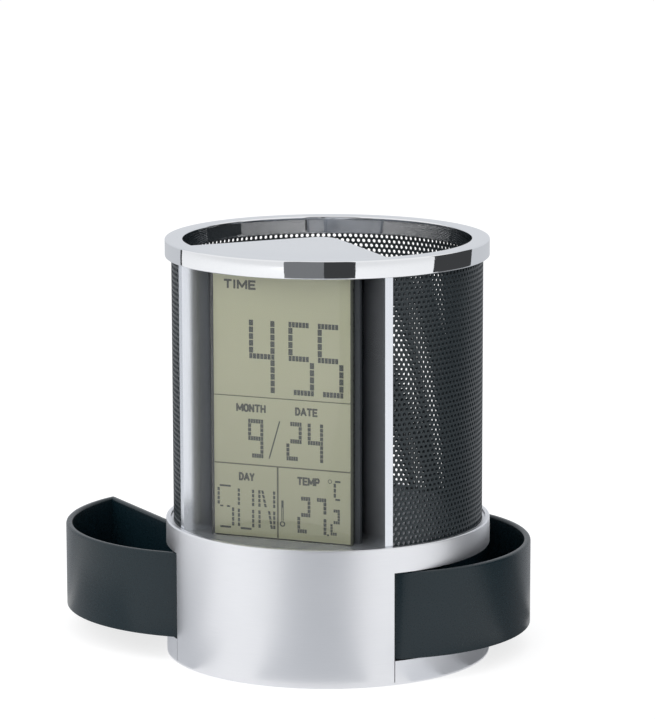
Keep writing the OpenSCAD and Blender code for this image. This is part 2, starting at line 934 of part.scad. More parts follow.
// Flat strips behind the cells' front ends, with solder tabs through the bay's roof
module front_contacts() {
    w = 2 * cell_r - 2;
    color(steel)
        for (x = [-cell_x, cell_x]) {
            span([x - w / 2, bay_y0, cell_z - 3.5], [x + w / 2, bay_y0 + contact_t, bay_roof - 0.2]);
            span([x - 1.4, bay_y0, cell_z], [x + 1.4, bay_y0 + contact_t, bay_roof + bay_wall + 2]);
            y_rod(x, cell_z, 2.4, bay_y0 + contact_t - 0.1, -bay_shift - cell_l / 2 - (x > 0 ? 0 : 1));
        }
}

// One strip that joins the cells' rear ends
module rear_contact() {
    color(steel) {
        span([-bay_x + 1, bay_y1 - contact_t, cell_z - 3.5], [bay_x - 1, bay_y1, bay_roof - 0.5]);
        for (x = [-cell_x, cell_x])
            y_rod(x, cell_z, 2.4, -bay_shift + cell_l / 2 + (x > 0 ? 1 : 0), bay_y1 - contact_t + 0.1);
    }
}

// Wires from the solder tabs up through the deck to the circuit board
module battery_leads() {
    r = 0.6;
    start_y = bay_y0 + contact_t + r;
    start_z = bay_roof + bay_wall + r;
    end_x = 1.5;
    end_y = -lead_y - r / 2;
    rise = (deck_low - start_z) / 2;
    bend_z = deck_low - lead_straight;
    color([0.7, 0.12, 0.1])
        for (s = [-1, 1])
            wire(concat(curve([[s * cell_x, start_y, start_z], [s * cell_x, start_y, start_z + rise],
                               [s * end_x, end_y, start_z + rise], [s * end_x, end_y, bend_z]], 9),
                        [[s * end_x, end_y, board_low + lead_tail]]), r, 8);
}

// Wire bundle from the key board forward below the deck and up to the circuit board
module key_lead() {
    r = 0.9;
    start_y = key_face - key_board_t - r;
    end_y = -lead_y + r;
    bend_z = deck_low - lead_straight;
    bow_x = boss_r * 4;
    bow_y = shell_screws[2][1] - 2 * boss_r;
    color([0.5, 0.5, 0.52])
        wire(concat(curve([[button_r, start_y, button_z0 + button_pitch], [bow_x, bow_y, deck_low],
                           [0, end_y, (bay_roof + deck_low) / 2], [0, end_y, bend_z]], 13),
                    [[0, end_y, board_low + lead_tail]]), r, 8);
}

foot_ring();
base_tray();
base_shell();
base_screws();
drawer_pins();
left_drawer();
right_drawer();
mesh_wall();
top_ring();
left_side_panel();
right_side_panel();
display_lens();
display_glass();
rubber_connectors();
clock_case();
circuit_board();
board_screws();
control_chip();
quartz_crystal();
buzzer_disc();
temperature_sensor();
case_screws();
mode_button();
set_button();
up_button();
down_button();
key_board();
key_switches();
battery_door();
batteries();
front_contacts();
rear_contact();
battery_leads();
key_lead();
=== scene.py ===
"""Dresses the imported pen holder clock: perforated cup, polished ring, swing-out drawers and display."""

import logging
import math
from dataclasses import dataclass
from enum import Enum

import bmesh
import bpy
from mathutils import Matrix, Vector


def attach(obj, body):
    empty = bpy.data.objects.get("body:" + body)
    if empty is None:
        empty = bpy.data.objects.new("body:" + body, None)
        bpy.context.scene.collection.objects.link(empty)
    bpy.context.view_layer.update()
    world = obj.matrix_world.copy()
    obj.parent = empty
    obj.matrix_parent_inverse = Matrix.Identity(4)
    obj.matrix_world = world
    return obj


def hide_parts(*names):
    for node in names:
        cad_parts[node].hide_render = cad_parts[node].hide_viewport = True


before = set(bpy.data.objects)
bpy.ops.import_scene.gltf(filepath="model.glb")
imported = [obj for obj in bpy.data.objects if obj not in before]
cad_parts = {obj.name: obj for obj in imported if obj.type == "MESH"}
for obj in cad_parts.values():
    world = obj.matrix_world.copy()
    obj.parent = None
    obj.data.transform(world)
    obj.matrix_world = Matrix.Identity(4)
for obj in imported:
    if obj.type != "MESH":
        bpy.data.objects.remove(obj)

LOG = logging.getLogger("pen_holder_clock")
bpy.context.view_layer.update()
MM = 0.001
MERGE = 1e-6
STAND = "stand"
ORIGIN = (0.0, 0.0, 0.0)
Z_AXIS = (0.0, 0.0, 1.0)
CUP_RADIUS = 0.046
CAMERA_DEG = 22.0
SMOOTH_DEG = 40.0
EDGE_STEPS = 3
Colour = tuple[float, float, float]
Box = tuple[float, float, float, float]
Mesh = bmesh.types.BMesh
Vert = bmesh.types.BMVert
Edge = bmesh.types.BMEdge
Face = bmesh.types.BMFace
Node = bpy.types.Node
Socket = bpy.types.NodeSocket
Piece = bpy.types.Object
Material = bpy.types.Material


class Grain(Enum):
    """How a finish's fine pattern lies on the surface."""

    SPECKLE = "even speckle of a moulded or coated face"
    AROUND = "fine lines round the upright axis"
    ACROSS = "fine lines along X"
    UPRIGHT = "fine lines along Z"


class NodeBench:
    """A node tree with short calls to add and join nodes."""

    def __init__(self, owner: Material | bpy.types.World) -> None:
        """Empties a tree.

        Args:
            owner: material or world that holds it.
        """
        owner.use_nodes = True
        self.tree = owner.node_tree
        self.tree.nodes.clear()

    def join(self, value: object, socket: Socket) -> None:
        """Gives a socket something to read.

        Args:
            value: a value, an output or a node, which gives its first output; None changes nothing.
            socket: the input.
        """
        if isinstance(value, Node):
            value = value.outputs[0]
        if isinstance(value, Socket):
            self.tree.links.new(value, socket)
        elif value is not None:
            socket.default_value = value

    def add(self, kind: str, *inputs: object, **options: object) -> Node:
        """Adds a node.

        Args:
            kind: Blender's node type without its ShaderNode prefix.
            inputs: what each input is joined to, in order.
            options: properties of the node.

        Returns:
            The new node.
        """
        node = self.tree.nodes.new("ShaderNode" + kind)
        for key, value in options.items():
            setattr(node, key, value)
        for socket, value in zip(node.inputs, inputs):
            self.join(value, socket)
        return node

    def calc(self, operation: str, *inputs: object) -> Node:
        """Adds a node that works out a number."""
        return self.add("Math", *inputs, operation=operation)


class SurfaceBench(NodeBench):
    """The nodes of a surface material round its one shader."""

    noise_range = (0.3, 0.7)
    noise_detail = 2.0

    def __init__(self, name: str) -> None:
        """Starts a material with its shader and output.

        Args:
            name: the material's name.
        """
        self.material = bpy.data.materials.new(name)
        super().__init__(self.material)
        self.shader = self.add("BsdfPrincipled")
        self.add("OutputMaterial", self.shader)

    def set(self, **values: object) -> None:
        """Sets or joins shader sockets by name, with underscores for spaces."""
        for key, value in values.items():
            self.join(value, self.shader.inputs[key.replace("_", " ")])

    def source(self, socket: str) -> Socket:
        """The output that one of the shader's sockets is joined to."""
        return self.shader.inputs[socket].links[0].from_socket

    def place(self) -> Socket:
        """The point's place on the object."""
        return self.add("TexCoord").outputs["Object"]

    def around(self) -> Node:
        """The place rolled off the cup's cylinder.

        Returns:
            A vector of length round the axis, distance from it and height.
        """
        x, y, z = self.add("SeparateXYZ", self.place()).outputs
        run = self.calc("MULTIPLY", self.calc("ARCTAN2", y, x), CUP_RADIUS)
        square = self.calc("ADD", self.calc("POWER", x, 2.0), self.calc("POWER", y, 2.0))
        return self.add("CombineXYZ", run, self.calc("POWER", square, 0.5), z)

    def noise(self, place: Node | Socket, scale: Vector) -> Node:
        """Noise stretched by a scale for each axis.

        Args:
            place: place to read the noise at.
            scale: repeats per metre along each axis.

        Returns:
            The noise, mostly within noise_range.
        """
        mapping = self.add("Mapping", place)
        self.join(scale, mapping.inputs["Scale"])
        texture = self.add("TexNoise", mapping)
        self.join(1.0, texture.inputs["Scale"])
        self.join(self.noise_detail, texture.inputs["Detail"])
        return texture

    def spread(self, noise: Node, low: float, high: float) -> Node:
        """Maps noise onto a range of values."""
        return self.add("MapRange", noise, *self.noise_range, low, high)

    def blend(self, value: Node, first: Colour | Socket, second: Colour | Socket) -> Socket:
        """Mixes two colours.

        Args:
            value: share of the second one, from 0 to 1.
            first: a colour or an output.
            second: another.

        Returns:
            The mixed colour.
        """
        mix = self.add("Mix", value, data_type="RGBA")
        for socket, colour in zip(mix.inputs[6:8], (first, second)):
            self.join((*colour, 1.0) if isinstance(colour, tuple) else colour, socket)
        return mix.outputs[2]

    def bump(self, height: Node, strength: float, depth: float) -> None:
        """Raises the surface by a value.

        Args:
            height: the value.
            strength: how much of the relief shows.
            depth: height of the relief in metres.
        """
        node = self.add("Bump")
        for key, value in (("Strength", strength), ("Distance", depth), ("Height", height)):
            self.join(value, node.inputs[key])
        self.set(Normal=node)


GRAIN_LENGTH = 60.0  # length of a grain line, in its widths
GRAIN_DEPTH = 0.25  # depth of the relief, in grain widths
GRAIN_SHARE = 0.45  # how much of the shade the grain mixes in
CLOUD_SHARE = 0.5  # how much of the shade the slow variation mixes in
CLOUD_SCALE = Vector((45.0, 45.0, 45.0))  # repeats per metre of the slow variation


@dataclass(frozen=True)
class Finish:
    """A surface finish with fine variation of its colour, gloss and relief.

    Colours are linear; sizes are in metres.
    """

    name: str
    colour: Colour
    shade: Colour
    roughness: float
    spread: float = 0.05
    metallic: float = 0.0
    grain: Grain = Grain.SPECKLE
    grain_size: float = 0.0004
    relief: float = 0.15
    specular: float = 0.5

    def scale(self) -> Vector:
        """Works out how fine the grain is.

        Returns:
            Its repeats per metre along each axis.
        """
        fine = 1.0 / self.grain_size
        long = fine / GRAIN_LENGTH
        if self.grain is Grain.SPECKLE:
            return Vector((fine, fine, fine))
        return Vector((fine, fine, long) if self.grain is Grain.UPRIGHT else (long, fine, fine))

    def bench(self) -> SurfaceBench:
        """Lays out the material's nodes.

        Returns:
            The bench, for a finish that adds to it.
        """
        bench = SurfaceBench(self.name)
        where = bench.around() if self.grain is Grain.AROUND else bench.place()
        value = bench.noise(where, self.scale())
        cloud = bench.noise(bench.place(), CLOUD_SCALE)
        worn = bench.blend(bench.spread(cloud, 0.0, CLOUD_SHARE), self.colour, self.shade)
        bench.set(
            Metallic=self.metallic,
            Specular_IOR_Level=self.specular,
            Base_Color=bench.blend(bench.spread(value, 0.0, GRAIN_SHARE), worn, self.shade),
            Roughness=bench.spread(value, self.roughness - self.spread, self.roughness + self.spread),
        )
        bench.bump(value, self.relief, self.grain_size * GRAIN_DEPTH)
        return bench

    def build(self) -> Material:
        """The finished material."""
        return self.bench().material


@dataclass(frozen=True)
class DeckedSilver(Finish):
    """Brushed silver whose deck is polished darker between the side panels."""

    deck_colour: Colour = (0.25, 0.265, 0.28)
    deck_rough: float = 0.22
    deck_metallic: float = 0.4
    deck_height: float = 0.0402
    rim_radius: float = 0.0469
    wedge_deg: float = 43.2

    def build(self) -> Material:
        """Tells the deck apart by its height, radius and angle.

        Returns:
            The finished material.
        """
        bench = self.bench()
        run, out, height = bench.add("SeparateXYZ", bench.around()).outputs
        high = bench.calc("GREATER_THAN", height, self.deck_height)
        within = bench.calc("LESS_THAN", out, self.rim_radius)
        aside = bench.calc("ABSOLUTE", bench.calc("SUBTRACT", run, -math.pi / 2 * CUP_RADIUS))
        front = bench.calc("LESS_THAN", aside, math.radians(self.wedge_deg) * CUP_RADIUS)
        deck = bench.calc("MULTIPLY", bench.calc("MULTIPLY", high, within), front)
        rough = bench.source("Roughness")
        bench.set(
            Base_Color=bench.blend(deck, bench.source("Base Color"), self.deck_colour),
            Roughness=bench.add("Mix", deck, None, rough, self.deck_rough, data_type="FLOAT"),
            Metallic=bench.add("MapRange", deck, 0.0, 1.0, 1.0, self.deck_metallic),
        )
        return bench.material


@dataclass(frozen=True)
class ClearFinish(Finish):
    """Clear moulded plastic."""

    ior: float = 1.49

    def build(self) -> Material:
        """Makes the plastic see-through.

        Returns:
            The finished material.
        """
        bench = self.bench()
        bench.set(Transmission_Weight=1.0, IOR=self.ior)
        return bench.material


@dataclass(frozen=True)
class FilmWithPaintedShade(Finish):
    """Display film with painted shade: its colour turns darker towards its lower edge."""

    dark_colour: Colour = (0.384, 0.388, 0.258)
    dark_height: float = 0.058
    light_height: float = 0.11

    def build(self) -> Material:
        """Paints shade on the film by its height, darker towards its foot.

        Returns:
            The finished material.
        """
        bench = self.bench()
        height = bench.add("SeparateXYZ", bench.place()).outputs["Z"]
        rise = bench.add("MapRange", height, self.dark_height, self.light_height, 0.0, 1.0)
        bench.set(Base_Color=bench.blend(rise, self.dark_colour, bench.source("Base Color")))
        return bench.material


SILVER = DeckedSilver(
    "satin_silver", (0.91, 0.915, 0.94), (0.845, 0.855, 0.88), 0.4, 0.04, 1.0, Grain.AROUND, 0.00012, 0.1
)
CHROME = Finish(
    "polished_chrome", (0.9, 0.91, 0.92), (0.86, 0.87, 0.89), 0.03, 0.012, 1.0, Grain.SPECKLE, 0.0007, 0.01
)
PANEL_CHROME = Finish(
    "panel_chrome", (0.82, 0.845, 0.89), (0.76, 0.785, 0.83), 0.2, 0.02, 0.9, Grain.UPRIGHT, 0.00025, 0.02
)
DRAWER = Finish(
    "drawer_black", (0.005, 0.0145, 0.0195), (0.0035, 0.011, 0.0155), 0.29, 0.03, relief=0.06, specular=0.4
)
COAT = Finish(
    "powder_black", (0.018, 0.025, 0.029), (0.014, 0.02, 0.024), 0.36, 0.06, relief=0.2, specular=0.36
)
LENS = ClearFinish(
    "clear_lens", (1.0, 1.0, 1.0), (0.985, 0.995, 0.985), 0.01, 0.004, grain_size=0.002, relief=0.0
)
# The display film's colour is darker towards its foot: painted shade.
FILM = FilmWithPaintedShade(
    "display_film", (0.505, 0.51, 0.34), (0.48, 0.485, 0.322), 0.5, grain_size=0.0006, relief=0.0
)
INK = Finish("display_ink", (0.026, 0.034, 0.028), (0.036, 0.044, 0.036), 0.5, relief=0.0)
LABEL = Finish("display_label", (0.05, 0.057, 0.044), (0.06, 0.067, 0.052), 0.5, relief=0.0)
RULE = Finish("display_rule", (0.08, 0.084, 0.05), (0.095, 0.1, 0.06), 0.5, relief=0.0)
PLATE = Finish("display_plate", (0.03, 0.034, 0.03), (0.022, 0.025, 0.022), 0.3, relief=0.0)
# Dark strips on the lens's side faces, which the side panels mirror as a dark band.
BORDER = Finish("dark_lens_edge", (0.12, 0.125, 0.1), (0.1, 0.105, 0.085), 0.4, relief=0.0)
CASE = Finish("case_black", (0.05, 0.056, 0.062), (0.038, 0.043, 0.048), 0.5)
BUTTON = Finish("button_black", (0.03, 0.031, 0.034), (0.022, 0.023, 0.026), 0.4)
RUBBER = Finish(
    "foot_rubber", (0.02, 0.02, 0.021), (0.035, 0.035, 0.036), 0.8, 0.08, grain_size=0.0003, relief=0.5
)
STEEL = Finish("bright_steel", (0.6, 0.61, 0.63), (0.48, 0.49, 0.51), 0.32, 0.08, 1.0, Grain.ACROSS, 0.0001)
NICKEL = Finish(
    "nickel_plate", (0.68, 0.67, 0.65), (0.56, 0.55, 0.53), 0.28, 0.08, 1.0, Grain.UPRIGHT, 0.00012
)
BRASS = Finish("rolled_brass", (0.72, 0.5, 0.18), (0.6, 0.4, 0.13), 0.3, 0.08, 1.0, Grain.ACROSS, 0.0001)
RESIST = Finish(
    "board_green", (0.02, 0.13, 0.05), (0.03, 0.2, 0.07), 0.3, 0.06, grain_size=0.0012, relief=0.2
)
RESIN = Finish("cast_resin", (0.012, 0.012, 0.013), (0.02, 0.02, 0.021), 0.2, grain_size=0.001)
SENSOR = Finish("dipped_resin", (0.34, 0.08, 0.03), (0.26, 0.06, 0.02), 0.3, 0.06)
CONTACT_RUBBER = Finish(
    "contact_rubber", (0.62, 0.28, 0.32), (0.05, 0.04, 0.04), 0.6, 0.05, 0.0, Grain.UPRIGHT, 0.0002
)
JACKET = Finish("cell_jacket", (0.09, 0.1, 0.115), (0.07, 0.078, 0.09), 0.35, 0.05, 0.3, grain_size=0.0006)
RED_WIRE = Finish("lead_red", (0.34, 0.015, 0.012), (0.26, 0.012, 0.01), 0.35)
GREY_WIRE = Finish("lead_grey", (0.18, 0.18, 0.19), (0.13, 0.13, 0.14), 0.4)


def spin(
    bm: Mesh, geom: list, angle: float, steps: int, cent: tuple | Vector = ORIGIN, **options: bool
) -> list:
    """Turns geometry about an upright axis, leaving its track.

    Args:
        bm: mesh that holds it.
        geom: what is turned.
        angle: the whole turn in radians.
        steps: number of steps.
        cent: a point on the axis.
        options: further settings of the operator.

    Returns:
        The geometry at the end of the turn.
    """
    turned = bmesh.ops.spin(bm, geom=geom, cent=cent, axis=Z_AXIS, angle=angle, steps=steps, **options)
    return turned["geom_last"]


def lift(bm: Mesh, faces: list[Face], height: float) -> None:
    """Extrudes faces upwards.

    Args:
        bm: mesh that holds them.
        faces: what is extruded.
        height: how far; a negative height goes down.
    """
    grown = bmesh.ops.extrude_face_region(bm, geom=faces)["geom"]
    verts = [g for g in grown if isinstance(g, Vert)]
    bmesh.ops.translate(bm, verts=verts, vec=(0, 0, height))


def edges_of(verts: list[Vert]) -> list[Edge]:
    """All edges that meet some vertices."""
    return list({e for v in verts for e in v.link_edges})


def polar(radius: float, degrees: float, z: float) -> Vector:
    """A point at an angle counted from the front towards +X."""
    turn = math.radians(degrees)
    return Vector((radius * math.sin(turn), -radius * math.cos(turn), z))


def settle(bm: Mesh, name: str) -> bpy.types.Mesh:
    """Turns a mesh under construction into a finished one.

    Args:
        bm: the mesh, which is used up.
        name: name of the finished one.

    Returns:
        The finished mesh.
    """
    mesh = bpy.data.meshes.new(name)
    bm.to_mesh(mesh)
    bm.free()
    return mesh


def put(name: str, data: bpy.types.ID) -> Piece:
    """Adds an object to the scene.

    Args:
        name: its name.
        data: its mesh, lamp or camera.

    Returns:
        The object.
    """
    thing = bpy.data.objects.new(name, data)
    bpy.context.scene.collection.objects.link(thing)
    return thing


class Outline:
    """A closed line drawn in a mesh by straight runs and arcs about upright axes."""

    def __init__(self, bm: Mesh, start: Vector) -> None:
        """Starts the line.

        Args:
            bm: mesh to draw in.
            start: its first point.
        """
        self.bm = bm
        self.first = bm.verts.new(start)
        self.last = self.first
        self.edges: list[Edge] = []

    def run(self, to: Vector, steps: int = 1) -> "Outline":
        """Draws a straight run.

        Args:
            to: the point that it ends at.
            steps: number of equal steps.

        Returns:
            The outline, to draw on.
        """
        step = (to - self.last.co) / steps
        for _ in range(steps):
            grown = bmesh.ops.extrude_vert_indiv(self.bm, verts=[self.last])
            self.last = grown["verts"][0]
            self.edges += grown["edges"]
            bmesh.ops.translate(self.bm, verts=[self.last], vec=step)
        return self

    def arc(self, centre: Vector, degrees: float, steps: int) -> "Outline":
        """Draws an arc about an upright axis.

        Args:
            centre: a point on the axis.
            degrees: the arc's angle.
            steps: number of equal steps.

        Returns:
            The outline, to draw on.
        """
        known = set(self.bm.edges)
        ends = spin(self.bm, [self.last], math.radians(degrees), steps, centre)
        self.last = next(v for v in ends if isinstance(v, Vert))
        self.edges += [e for e in self.bm.edges if e not in known]
        return self

    def close(self) -> "Outline":
        """Joins the last point to the first."""
        self.edges.append(self.bm.edges.new((self.last, self.first)))
        return self

    def fill(self) -> Face:
        """Fills the closed line with one face."""
        return bmesh.ops.contextual_create(self.bm, geom=self.edges)["faces"][0]


class Workpiece:
    """A mesh under construction that becomes one piece of the object."""

    def __init__(self, name: str) -> None:
        """Starts an empty mesh."""
        self.name = name
        self.bm = bmesh.new()

    def tidy(self) -> None:
        """Merges doubled vertices and turns the faces outwards."""
        bmesh.ops.remove_doubles(self.bm, verts=self.bm.verts, dist=MERGE)
        bmesh.ops.recalc_face_normals(self.bm, faces=self.bm.faces)

    def round_off(self, geom: list, size: float, segments: int, affect: str = "EDGES") -> None:
        """Rounds edges or vertices off.

        Args:
            geom: what is rounded.
            size: distance from it at which the rounding begins.
            segments: steps of the rounding.
            affect: EDGES or VERTICES.
        """
        bmesh.ops.bevel(
            self.bm,
            geom=geom,
            offset=size,
            offset_type="OFFSET",
            affect=affect,
            segments=segments,
            profile=0.5,
            material=-1,
            clamp_overlap=True,
        )

    def block(self, low: Vector, high: Vector) -> list[Vert]:
        """Adds a box.

        Args:
            low: its lowest corner along each axis.
            high: its highest corner.

        Returns:
            Its vertices.
        """
        size = high - low
        matrix = Matrix.Translation((low + high) / 2) @ Matrix.Diagonal((*size, 1.0))
        return bmesh.ops.create_cube(self.bm, size=1.0, matrix=matrix)["verts"]

    def ring(self, inner: float, outer: float, low: float, high: float, sides: int, edge: float) -> None:
        """Spins a ring of square section about the upright axis.

        Args:
            inner: radius of its bore.
            outer: its outer radius.
            low: height of its lower face.
            high: height of its upper face.
            sides: number of its sides.
            edge: radius of its rounded edges; 0 keeps them sharp.
        """
        bm = self.bm
        section = Outline(bm, Vector((inner, 0, low))).run(Vector((outer, 0, low)))
        section.run(Vector((outer, 0, high))).run(Vector((inner, 0, high))).close()
        if edge > 0:
            self.round_off(list(section.fill().verts), edge, 2 * EDGE_STEPS, "VERTICES")
            bmesh.ops.delete(bm, geom=list(bm.faces), context="FACES_ONLY")
        spin(bm, bm.verts[:] + bm.edges[:], math.tau, sides, use_merge=True)
        self.tidy()

    def place(
        self,
        finish: Finish,
        slot: str,
        body: str = STAND,
        stands_for: tuple[str, ...] = (),
        smooth: float = 0.0,
    ) -> Piece:
        """Turns the mesh into a piece.

        Args:
            finish: finish of the whole piece.
            slot: name of a material slot; not used.
            body: body that the piece rides on.
            stands_for: nodes that the piece is shown in place of.
            smooth: angle in degrees below which edges are shaded smooth; 0 keeps flat faces.

        Returns:
            The placed object.
        """
        mesh = settle(self.bm, self.name)
        if smooth > 0:
            mesh.shade_smooth()
            mesh.set_sharp_from_angle(angle=math.radians(smooth))
        mesh.materials.append(Dresser.material(finish))
        piece = put(self.name, mesh)
        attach(piece, body)
        if stands_for:
            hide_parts(*stands_for)
        LOG.info("%s on %s: %d faces", self.name, body, len(mesh.polygons))
        return piece


class Dresser:
    """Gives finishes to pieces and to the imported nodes, one material for each finish."""

    made: dict[str, Material] = {}
    nodes: dict[Finish, tuple[str, ...]] = {
        RUBBER: ("foot_ring",),
        SILVER: ("base_tray", "base_shell", "battery_door"),
        STEEL: ("base_screws", "drawer_pins", "board_screws", "case_screws"),
        DRAWER: ("left_drawer", "right_drawer"),
        COAT: ("mesh_wall",),
        CHROME: ("top_ring",),
        PANEL_CHROME: ("left_side_panel", "right_side_panel"),
        LENS: ("display_lens",),
        FILM: ("display_glass",),
        CONTACT_RUBBER: ("rubber_connectors",),
        CASE: ("clock_case",),
        RESIST: ("circuit_board", "key_board"),
        RESIN: ("control_chip",),
        NICKEL: ("quartz_crystal", "key_switches", "front_contacts", "rear_contact"),
        BRASS: ("buzzer_disc",),
        SENSOR: ("temperature_sensor",),
        BUTTON: ("mode_button", "set_button", "up_button", "down_button"),
        JACKET: ("batteries",),
        RED_WIRE: ("battery_leads",),
        GREY_WIRE: ("key_lead",),
    }

    @classmethod
    def material(cls, finish: Finish) -> Material:
        """Gives a finish's material, made once.

        Args:
            finish: the finish.

        Returns:
            Its material.
        """
        if finish.name not in cls.made:
            cls.made[finish.name] = finish.build()
        return cls.made[finish.name]

    @classmethod
    def dress_nodes(cls) -> None:
        """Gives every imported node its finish."""
        for finish, names in cls.nodes.items():
            for name in names:
                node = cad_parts[name]
                node.data.materials.clear()
                node.data.materials.append(cls.material(finish))
                LOG.info("%s: %s", name, finish.name)


@dataclass
class PerforatedSheet:
    """The black sheet round the cup, with staggered round holes."""

    outer_radius: float = 46.2 * MM
    thickness: float = 0.6 * MM
    low: float = 39.2 * MM
    high: float = 120.9 * MM
    start_deg: float = 44.3
    columns: int = 130
    rows: int = 56
    hole_radius: float = 0.56 * MM
    hole_sides: int = 8
    merge: float = 0.02 * MM

    def step(self) -> float:
        """Angle between neighbouring holes of a row."""
        return math.radians(360.0 - 2.0 * self.start_deg) / (self.columns + 0.5)

    def pitch(self) -> float:
        """Height of a row."""
        return (self.high - self.low) / self.rows

    def cell(self, bm: Mesh) -> list[Face]:
        """Makes one hole with the sheet round it, standing at the sheet's +X side.

        Args:
            bm: mesh to make it in.

        Returns:
            The cell's faces.
        """
        half = Vector((self.outer_radius * math.tan(self.step() / 2), self.pitch() / 2))
        hole = bmesh.ops.create_circle(bm, segments=self.hole_sides, radius=self.hole_radius)["verts"]
        edge = bmesh.ops.create_circle(bm, segments=self.hole_sides, radius=1.0)["verts"]
        for v in edge:
            v.co = Vector((round(v.co.x) * half.x, round(v.co.y) * half.y, 0.0))
        faces = bmesh.ops.bridge_loops(bm, edges=edges_of(hole + edge))["faces"]
        upright = Matrix(((0, 0, 1), (1, 0, 0), (0, 1, 0)))
        bmesh.ops.rotate(bm, verts=hole + edge, cent=ORIGIN, matrix=upright)
        bmesh.ops.translate(bm, verts=hole + edge, vec=(self.outer_radius, 0.0, self.low + half.y))
        return faces

    def side(self, name: str, first: int, count: int) -> None:
        """Makes the columns of one side.

        Args:
            name: the piece's name.
            first: first column, counted from the front's right-hand edge.
            count: number of columns.
        """
        work = Workpiece(name)
        bm = work.bm
        faces = self.cell(bm)
        begin = math.radians(self.start_deg - 90.0) + self.step() * (first + 0.5)
        bmesh.ops.rotate(bm, verts=bm.verts, cent=ORIGIN, matrix=Matrix.Rotation(begin, 3, "Z"))
        spin(bm, faces, self.step() * (count - 1), count - 1, use_duplicate=True)
        row = list(bm.faces)
        for i in range(1, self.rows):
            made = bmesh.ops.duplicate(bm, geom=row)["geom"]
            verts = [g for g in made if isinstance(g, Vert)]
            bmesh.ops.translate(bm, verts=verts, vec=(0, 0, i * self.pitch()))
            shift = Matrix.Rotation(self.step() / 2 * (i % 2), 3, "Z")
            bmesh.ops.rotate(bm, verts=verts, cent=ORIGIN, matrix=shift)
        bmesh.ops.remove_doubles(bm, verts=bm.verts, dist=self.merge)
        bm.faces.ensure_lookup_table()
        probe = bm.faces[0]
        if probe.normal.dot(probe.calc_center_median() * Vector((1, 1, 0))) < 0:
            bmesh.ops.reverse_faces(bm, faces=bm.faces)
        piece = work.place(COAT, "mesh_black", STAND, ("mesh_wall",))
        wall = piece.modifiers.new("sheet_thickness", "SOLIDIFY")
        wall.thickness = self.thickness
        wall.offset = -1.0

    def build(self) -> None:
        """Makes both sides."""
        half = self.columns // 2
        self.side("perforated_sheet_right", 0, half)
        self.side("perforated_sheet_left", half, self.columns - half)


@dataclass
class PolishedRing:
    """The chrome ring round the cup's mouth and the lid over the recess."""

    inner: float = 42.8 * MM
    outer: float = 48.1 * MM
    low: float = 119.7 * MM
    high: float = 125.0 * MM
    edge: float = 0.38 * MM
    sides: int = 192
    lid_thickness: float = 2.0 * MM
    lid_sunk: float = 0.02 * MM
    lid_radius: float = 45.4 * MM
    lid_half_deg: float = 43.0
    lid_tip: float = 2.29 * MM
    lid_round: float = 5.6 * MM
    lid_edge: float = 0.35 * MM
    ring_smooth_deg: float = 50.0
    arc_steps: int = 48
    tip_steps: int = 12
    reach_down: float = 0.1 * MM
    reach_in: float = 0.2 * MM

    def ring(self) -> None:
        """Spins the ring from its rounded section."""
        work = Workpiece("chrome_ring")
        work.ring(self.inner, self.outer, self.low, self.high, self.sides, self.edge)
        work.place(CHROME, "ring_chrome", STAND, ("top_ring",), smooth=self.ring_smooth_deg)

    def lid(self) -> None:
        """Makes the wedge-shaped lid with its rounded inner corner."""
        work = Workpiece("recess_lid")
        bm = work.bm
        half = math.radians(self.lid_half_deg)
        low = self.high - self.lid_thickness
        along = self.lid_tip * math.cos(half)
        reach = along + math.sqrt(along**2 - self.lid_tip**2 + self.lid_radius**2)
        side = Vector((reach * math.sin(half), self.lid_tip - reach * math.cos(half), low))
        turn = 2 * math.degrees(math.atan2(side.x, -side.y))
        plan = Outline(bm, Vector((-side.x, side.y, low))).arc(Vector((0, 0, low)), turn, self.arc_steps)
        face = plan.run(Vector((0, self.lid_tip, low))).close().fill()
        tip = max(face.verts, key=lambda v: v.co.y)
        work.round_off([tip], self.lid_round / math.tan(half), self.tip_steps, "VERTICES")
        lift(bm, list(bm.faces), self.lid_thickness - self.lid_sunk)
        work.tidy()
        top, rim = self.high - self.reach_down, self.lid_radius - self.reach_in
        inner = [e for e in bm.edges if all(v.co.z > top and v.co.xy.length < rim for v in e.verts)]
        work.round_off(inner, self.lid_edge, EDGE_STEPS)
        work.place(CHROME, "ring_chrome", STAND, ("top_ring",), smooth=SMOOTH_DEG)

    def build(self) -> None:
        """Makes the ring and its lid."""
        self.ring()
        self.lid()


@dataclass
class BaseEdge:
    """The lower edge of the base's wall, carried down almost to the table round the foot ring."""

    outer: float = 48.5 * MM
    inner: float = 46.9 * MM
    low: float = 0.08 * MM
    high: float = 0.8 * MM
    sides: int = 160

    def build(self) -> None:
        """Spins the edge from its section."""
        work = Workpiece("base_lower_edge")
        work.ring(self.inner, self.outer, self.low, self.high, self.sides, 0.0)
        work.place(SILVER, "satin_silver", smooth=SMOOTH_DEG)


